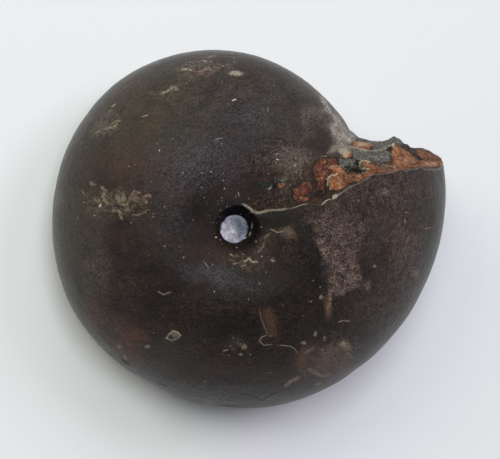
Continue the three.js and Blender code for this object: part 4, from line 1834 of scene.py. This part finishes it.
@dataclass(frozen=True)
class FleckCoat:
    """Lone flakes, threads, cracks and chips, from dark through tan and cream to white; some dark ones
    are painted shadow and some white ones painted glints.
    """

    layers: int
    tones: tuple[FleckTone, ...] = (
        # Dark tone: cracks and scratches, and also painted shadow.
        FleckTone(0.0, tint(15, 12, 12)),
        FleckTone(0.25, tint(84, 60, 47)),
        FleckTone(0.5, tint(150, 128, 102), 1.0),
        FleckTone(0.75, tint(170, 156, 136)),
        # White tone: pale specks, and also painted glints.
        FleckTone(1.0, tint(232, 228, 220)),
    )
    thickness: Cloud = Cloud(0.24, 4, 0.8, 44)
    folds: Cloud = Cloud(0.55, 4, 0.7, 46)
    edge: Cloud = Cloud(0.22, 4, 0.7, 45)
    roughness: float = 0.72
    edge_reach: tuple[float, float, float] = (2.4, 2.4, 0.0)
    dip: float = -0.08
    rise: float = 0.05

    def lay(self, desk: Desk, look: Look) -> Look:
        """Add the flecks, layer by layer.

        Args:
            desk: Where the nodes go.
            look: The look under them.

        Returns:
            The look with the flecks added.
        """
        colour, height, covered = look.colour, look.height, 0.0
        thick = desk.cloud(self.thickness)
        solid = desk.ramp(thick, 0.38, 0.56, 0.2, 0.95)
        folds = desk.fold(desk.cloud(self.folds))
        crumbs = desk.ramp(thick, 0.44, 0.62, 0.0, 0.55)
        threads = desk.most(desk.ramp(folds, 0.055, 0.015), crumbs)
        push = desk.jitter(self.edge)
        for index in range(self.layers):
            note = desk.add("ShaderNodeAttribute", attribute_name=f"flecks_{index}")
            parts = desk.fed("ShaderNodeSeparateXYZ", note.outputs["Color"])
            along, across, strength = parts.outputs
            place = desk.fed("ShaderNodeCombineXYZ", along, across).outputs[0]
            place = desk.pushed(place, push, self.edge_reach)
            away = desk.add("ShaderNodeVectorMath", operation="LENGTH", Vector=place)
            tone = self._tone(desk, note.outputs["Alpha"])
            worn = desk.between(tone.outputs["Alpha"], solid, threads)
            cover = desk.product(desk.ramp(away.outputs["Value"], 1.5, 0.6), strength, worn)
            colour = desk.blend(cover, colour, tone.outputs["Color"])
            relief = desk.ramp(note.outputs["Alpha"], 0.1, 0.4, self.dip, self.rise)
            height = desk.sum_of(height, desk.product(cover, relief))
            covered = desk.most(covered, cover)
        return Look(colour, desk.between(covered, look.roughness, self.roughness), height)

    def _tone(self, desk: Desk, tone: Socket) -> Node:
        """Turn a fleck's tone into its colour.

        Args:
            desk: Where the nodes go.
            tone: The tone, from dark (0) to white (1).

        Returns:
            A node with the tone's colour, and with its share of threads as alpha.
        """
        ramp = desk.add("ShaderNodeValToRGB", Fac=tone)
        stops = ramp.color_ramp.elements
        for _ in self.tones[2:]:
            stops.new(1.0)
        for stop, fleck in zip(stops, self.tones):
            stop.position = fleck.place
            stop.color = (*fleck.colour[:3], fleck.threads)
        return ramp


@dataclass(frozen=True)
class BreakCoat:
    """The broken mineral: orange-red scales and grey grit, with painted shade in its clefts and hollows,
    and painted highlights along its pale rims and as glints.
    """

    orange: Colour = tint(152, 98, 66)
    bleached: Colour = tint(170, 134, 106)
    red: Colour = tint(76, 38, 30)
    slate: Colour = tint(120, 116, 110)
    slate_dark: Colour = tint(34, 35, 35)
    earth: Colour = tint(72, 55, 46)
    # Pale mineral; the same colour also paints highlights and glints.
    earth_dark: Colour = tint(34, 27, 25)
    pale: Colour = tint(184, 172, 150)
    lip: Colour = tint(150, 146, 122)
    outer_lip: Colour = tint(112, 104, 96)
    # Painted shade: the near black of the hollows and crevices.
    painted_shade: Colour = tint(16, 11, 10)
    crumble: Cloud = Cloud(0.5, 5, 0.7, 20)
    fine: Cloud = Cloud(0.19, 4, 0.78, 21)
    shade: Cloud = Cloud(0.7, 5, 0.7, 22)
    lip_wear: Cloud = Cloud(0.6, 4, 0.7, 23)
    # Painted glints: tiny pale specks in place of the lamps' glints on the mineral.
    painted_glints: Cloud = Cloud(0.16, 2, 0.6, 24)
    streaks: Cloud = Cloud(0.6, 4, 0.7, 25)
    grain: tuple[float, float] = (0.4, 1.6)
    painted_shade_share: float = 0.9
    pale_share: float = 0.75
    crumb_height: float = 0.16
    grain_height: float = 0.06
    fibre_stretch: float = 2.0

    def lay(self, desk: Desk, look: Look) -> Look:
        """Lay the break's mineral over its face.

        Args:
            desk: Where the nodes go.
            look: The look under it.

        Returns:
            The look with the mineral added.
        """
        face = desk.ramp(desk.note("on_face"), 0.15, 0.9)
        crumble = self._cloud(desk, self.crumble)
        fine = self._cloud(desk, self.fine)
        wobble = desk.product(desk.offset(crumble, -0.5), 0.5)
        grain = desk.ramp(fine, 0.30, 0.68, *self.grain)
        earth = desk.blend(desk.ramp(crumble, 0.4, 0.65), self.earth_dark, self.earth)
        earth = desk.lit(earth, grain)
        bare = desk.product(face, desk.ramp(crumble, 0.3, 0.6, 0.5, 1.0))
        colour = desk.blend(bare, look.colour, earth)
        slate = desk.blend(desk.ramp(fine, 0.38, 0.64), self.slate_dark, self.slate)
        slate_share = desk.sum_of(desk.note("slate"), desk.product(wobble, 1.2))
        slate_share = desk.ramp(slate_share, 0.3, 0.8)
        colour = desk.blend(desk.product(slate_share, face), colour, slate)
        ember_share = desk.ramp(desk.sum_of(desk.note("ember"), wobble), 0.35, 0.65)
        ember = desk.lit(self._ember(desk), grain)
        colour = desk.blend(desk.product(ember_share, face), colour, ember)
        # Painted shade: the crevices round the scales and the marked hollows go near black.
        scale_edge_shade = desk.product(desk.note("scale_edge_shade"), desk.ramp(crumble, 0.38, 0.60, 0.05, 0.9))
        painted_shade = desk.product(desk.note("painted_shade"), self.painted_shade_share)
        colour = desk.blend(desk.most(painted_shade, desk.product(scale_edge_shade, face)), colour, self.painted_shade)
        pale_share = desk.ramp(desk.sum_of(desk.note("pale"), wobble), 0.4, 0.75)
        colour = desk.blend(desk.product(pale_share, face, self.pale_share), colour, self.pale)
        outer = desk.note("outer")
        # Painted glints: pale specks for the lamps' glints, more on the grey grit and towards the belly.
        glint_share = desk.sum_of(desk.product(slate_share, 0.3), desk.between(outer, 0.16, 0.35))
        painted_glints = desk.ramp(self._cloud(desk, self.painted_glints), 0.58, 0.68)
        colour = desk.blend(desk.product(painted_glints, face, glint_share), colour, self.pale)
        lip = desk.blend(outer, desk.blend(fine, self.lip, self.pale), self.outer_lip)
        lip_share = desk.product(self._lip_share(desk, fine), desk.between(outer, 1.0, 0.8))
        colour = desk.blend(lip_share, colour, lip)
        bumps = desk.sum_of(
            desk.product(crumble, self.crumb_height), desk.product(fine, self.grain_height)
        )
        rough = desk.between(face, look.roughness, desk.ramp(fine, 0.3, 0.7, 0.45, 0.7))
        return Look(colour, rough, desk.sum_of(look.height, desk.product(bumps, face)))

    def _ember(self, desk: Desk) -> Socket:
        """Return the colour of the rust-orange mineral, with its bleached streaks and red veins.

        Args:
            desk: Where the nodes go.

        Returns:
            The colour.
        """
        shade = desk.offset(self._cloud(desk, self.shade), -0.5)
        redness = desk.sum_of(desk.note("redness"), desk.product(shade, 2.0))
        ember = desk.blend(desk.ramp(redness, 0.0, 1.0), self.orange, self.red)
        streaks = self._cloud(desk, self.streaks)
        ember = desk.blend(desk.ramp(streaks, 0.52, 0.68, 0.0, 0.65), ember, self.bleached)
        return desk.blend(desk.ramp(desk.fold(streaks, 0.46), 0.035, 0.0, 0.0, 0.7), ember, self.red)

    def _cloud(self, desk: Desk, cloud: Cloud) -> Socket:
        """Draw a cloud out along the coil's axis, as the mineral's fibres are.

        Args:
            desk: Where the nodes go.
            cloud: The noise's sizes across the fibres.

        Returns:
            The noise, from 0 to 1.
        """
        place = desk.add("ShaderNodeMapping", Vector=desk.note("coil", vector=True))
        place.inputs["Location"].default_value = cloud.shift()
        place.inputs["Scale"].default_value = (1.0, 1.0, 1 / self.fibre_stretch)
        return desk.noise(place.outputs[0], cloud).outputs["Fac"]

    def _lip_share(self, desk: Desk, fine: Socket) -> Socket:
        """Return how much of the pale line along the lip is left.

        Args:
            desk: Where the nodes go.
            fine: The mineral's fine noise.

        Returns:
            The share left at each place.
        """
        lip = desk.sum_of(desk.note("from_lip"), desk.product(desk.note("outer"), 0.08))
        worn = desk.product(desk.offset(desk.cloud(self.lip_wear), -0.5), 0.5)
        frayed = desk.product(desk.offset(fine, -0.5), 0.35)
        ragged = desk.sum_of(lip, worn, frayed)
        line = desk.product(desk.ramp(ragged, 0.34, 0.20), desk.ramp(lip, -0.03, 0.03))
        return desk.product(line, desk.ramp(fine, 0.35, 0.55, 0.45, 1.0))


@dataclass(frozen=True)
class PearlCoat:
    """The pale glossy plug at the bottom of the navel, with a painted reflection, highlight and shade,
    and the pit round it, painted near black as shade.
    """

    # The plug's pale colour is partly painted reflection of the cool window; the pinkish white is a
    # painted highlight on its lower left, and the blue grey painted shade on its right.
    pale_plug_and_reflection: Colour = tint(156, 154, 170)
    highlight_colour: Colour = tint(208, 199, 212)
    shade: Colour = tint(92, 98, 118)
    # Painted shade: the pit round the plug, near black.
    gap: Colour = tint(11, 9, 9)
    plug: Spot = Spot(-0.1, -0.9, 1.85, 2.15, -10, 1.0, 0.10)
    pit: Spot = Spot(0.0, 0.1, 3.5, 3.4, 0, 0.9, 0.35)
    # Where the plug's painted shade and painted highlight lie.
    shaded_spot: Spot = Spot(0.45, -0.75, 1.2, 1.3, 40, 1.0, 0.6)
    highlight_spot: Spot = Spot(-1.0, -1.3, 1.3, 1.2, -40, 1.0, 0.6)
    cloud_share: float = 0.9
    edge: Cloud = Cloud(0.8, 4, 0.6, 30)
    milk: Cloud = Cloud(0.5, 5, 0.75, 31)
    milkiness: tuple[float, float] = (0.5, 1.1)
    edge_reach: tuple[float, float, float] = (1.0, 1.0, 0.0)
    pit_roughness: float = 0.85
    pearl_roughness: float = 0.3

    def lay(self, desk: Desk, look: Look) -> Look:
        """Lay the plug in the navel, with its painted reflection, highlight and shade.

        Args:
            desk: Where the nodes go.
            look: The look under it.

        Returns:
            The look with the plug added.
        """
        x, y, _ = desk.fed("ShaderNodeSeparateXYZ", desk.note("coil", vector=True)).outputs
        flat = desk.fed("ShaderNodeCombineXYZ", x, y).outputs[0]
        place = desk.pushed(flat, desk.jitter(self.edge), self.edge_reach)
        # Painted shade in the pit.
        pit = desk.oval(place, self.pit)
        colour = desk.blend(pit, look.colour, self.gap)
        # The plug: pale mineral with painted reflection, a painted highlight on its lower left and
        # painted shade on its right.
        milk = self.pale_plug_and_reflection
        for spot, cloud in ((self.shaded_spot, self.shade), (self.highlight_spot, self.highlight_colour)):
            share = desk.product(desk.oval(place, spot), self.cloud_share)
            milk = desk.blend(share, milk, cloud)
        gain = desk.ramp(desk.cloud(self.milk), 0.35, 0.62, *self.milkiness)
        milk = desk.lit(milk, gain)
        share = desk.product(desk.oval(place, self.plug), desk.ramp(desk.note("plug"), 0.3, 0.7))
        colour = desk.blend(share, colour, milk)
        rough = desk.between(pit, look.roughness, self.pit_roughness)
        return Look(colour, desk.between(share, rough, self.pearl_roughness), look.height)


Coat = StainCoat | GrainCoat | PearlCoat | BreakCoat | CrustCoat | FleckCoat


@dataclass(frozen=True)
class StoneFinish:
    """The fossil's whole finish, laid coat by coat."""

    coats: tuple[Coat, ...]
    name: str = "fossil_stone"
    skin: SkinCoat = SkinCoat()
    specular: float = 0.12
    sheen: float = 0.205
    sheen_roughness: float = 0.5

    def build(self) -> bpy.types.Material:
        """Make the finish.

        Returns:
            The finish as a material.
        """
        material = bpy.data.materials.new(self.name)
        material.use_nodes = True
        desk = Desk(material.node_tree)
        look = self.skin.lay(desk)
        for coat in self.coats:
            look = coat.lay(desk, look)
        shader = material.node_tree.nodes["Principled BSDF"]
        bump = desk.add("ShaderNodeBump", Strength=1.0, Distance=MM, Height=look.height)
        shader.inputs["Specular IOR Level"].default_value = self.specular
        shader.inputs["Sheen Weight"].default_value = self.sheen
        shader.inputs["Sheen Roughness"].default_value = self.sheen_roughness
        desk.feed(shader.inputs["Base Color"], look.colour)
        desk.feed(shader.inputs["Roughness"], look.roughness)
        desk.feed(shader.inputs["Normal"], bump.outputs["Normal"])
        return material


# The setting.


@dataclass(frozen=True)
class Lamp:
    """A soft square light, hung round the fossil and facing it.

    Its bearing from +X and its rise above the horizon are in degrees, its lengths in metres
    and its power in watts.
    """

    name: str
    bearing: float
    rise: float
    power: float
    colour: tuple[float, float, float]
    side: float = 0.42
    distance: float = 1.2

    def hang(self) -> None:
        """Hang the light."""
        lamp = bpy.data.lights.new(self.name, "AREA")
        lamp.shape = "RECTANGLE"
        lamp.size = self.side
        lamp.size_y = self.side
        lamp.energy = self.power
        lamp.color = self.colour
        light = bpy.data.objects.new(self.name, lamp)
        bearing, rise = math.radians(self.bearing), math.radians(self.rise)
        level = math.cos(rise)
        towards = Vector((math.cos(bearing) * level, math.sin(bearing) * level, math.sin(rise)))
        light.location = towards * self.distance
        light.rotation_euler = (-light.location).to_track_quat("-Z", "Y").to_euler()
        bpy.context.collection.objects.link(light)


@dataclass(frozen=True)
class Studio:
    """Pale paper, soft windows and the camera, on the stone's line of sight.

    Lengths are in metres, but for the camera's aim and view, which are in millimetres as the
    stone's plan is.
    """

    stone: AmmoniteStone
    paper_half_width: float = 2.0
    paper_colour: Colour = (0.82, 0.81, 0.82, 1.0)
    paper_roughness: float = 0.9
    paper_specular: float = 0.2
    lamps: tuple[Lamp, ...] = (
        Lamp("skylight", 120, 68, 8.9, (0.91, 0.965, 1.0)),
        Lamp("window", 48, 52, 3.5, (0.90, 0.80, 1.0)),
        Lamp("far_window", 95, 50, 2.7, (0.84, 1.0, 0.96)),
        Lamp("side_window", 135, 44, 3.2, (1.0, 1.0, 0.72)),
    )
    dim_wall: Colour = (0.03, 0.03, 0.03, 1.0)
    bright_wall: Colour = (0.06, 0.06, 0.065, 1.0)
    aim: tuple[float, float, float] = (3.02, -2.40, 0.0)
    sensor_width: float = 36.0
    view_width: float = 500 / 7.06
    clip_start: float = 0.01

    def build(self) -> None:
        """Make the paper, the lights and the camera."""
        self._lay_paper()
        bpy.context.scene.view_settings.view_transform = "Standard"
        bpy.context.scene.world = self._room()
        for lamp in self.lamps:
            lamp.hang()
        self._set_camera()

    def _lay_paper(self) -> None:
        """Lay a wide sheet of paper under the fossil."""
        shape = bmesh.new()
        bmesh.ops.create_grid(shape, x_segments=1, y_segments=1, size=self.paper_half_width)
        mesh = bpy.data.meshes.new("paper")
        shape.to_mesh(mesh)
        shape.free()
        paper = bpy.data.objects.new("paper", mesh)
        bpy.context.collection.objects.link(paper)
        finish = bpy.data.materials.new("paper")
        finish.use_nodes = True
        shader = finish.node_tree.nodes["Principled BSDF"]
        shader.inputs["Base Color"].default_value = self.paper_colour
        shader.inputs["Roughness"].default_value = self.paper_roughness
        shader.inputs["Specular IOR Level"].default_value = self.paper_specular
        mesh.materials.append(finish)

    def _room(self) -> bpy.types.World:
        """Make the room.

        Returns:
            A world whose walls glow, most on the windows' side.
        """
        world = bpy.data.worlds.new("room")
        world.use_nodes = True
        desk = Desk(world.node_tree)
        bearing = desk.add("ShaderNodeTexCoord").outputs["Generated"]
        towards = desk.add("ShaderNodeSeparateXYZ", Vector=bearing)
        share = desk.ramp(towards.outputs[1], -0.6, 0.9)
        glow = desk.blend(share, self.dim_wall, self.bright_wall)
        desk.feed(world.node_tree.nodes["Background"].inputs["Color"], glow)
        return world

    def _set_camera(self) -> None:
        """Set the camera on the line of sight, with the mouth to the right."""
        sight = self.stone.sight
        axes = sight.turn().transposed()
        rest = self.stone.rest
        eye = rest @ (axes @ Vector((0.0, 0.0, sight.distance)))
        back = (eye - rest @ (axes @ Vector(self.aim))).normalized()
        upright = rest.to_3x3().normalized() @ (axes @ Vector((0.0, 1.0, 0.0)))
        right = upright.cross(back).normalized()
        turn = Matrix((right, back.cross(right), back)).transposed()
        lens = bpy.data.cameras.new("camera")
        lens.sensor_width = self.sensor_width
        lens.lens = self.sensor_width * sight.distance / self.view_width
        lens.clip_start = self.clip_start
        camera = bpy.data.objects.new("camera", lens)
        camera.matrix_world = Matrix.Translation(eye) @ turn.to_4x4()
        bpy.context.collection.objects.link(camera)
        bpy.context.scene.camera = camera


def main() -> None:
    """Build the fossil and its setting, and report each piece."""
    logging.basicConfig(level=logging.INFO, format="%(name)s: %(message)s")
    noise.seed_set(NOISE_SEED)
    stone = AmmoniteStone()
    piece = stone.build()
    stone.dress(piece)
    triangles = sum(len(polygon.vertices) - 2 for polygon in piece.data.polygons)
    LOG.info("%s: %d triangles", piece.name, triangles)
    Studio(stone).build()


if __name__ == "__main__":
    main()
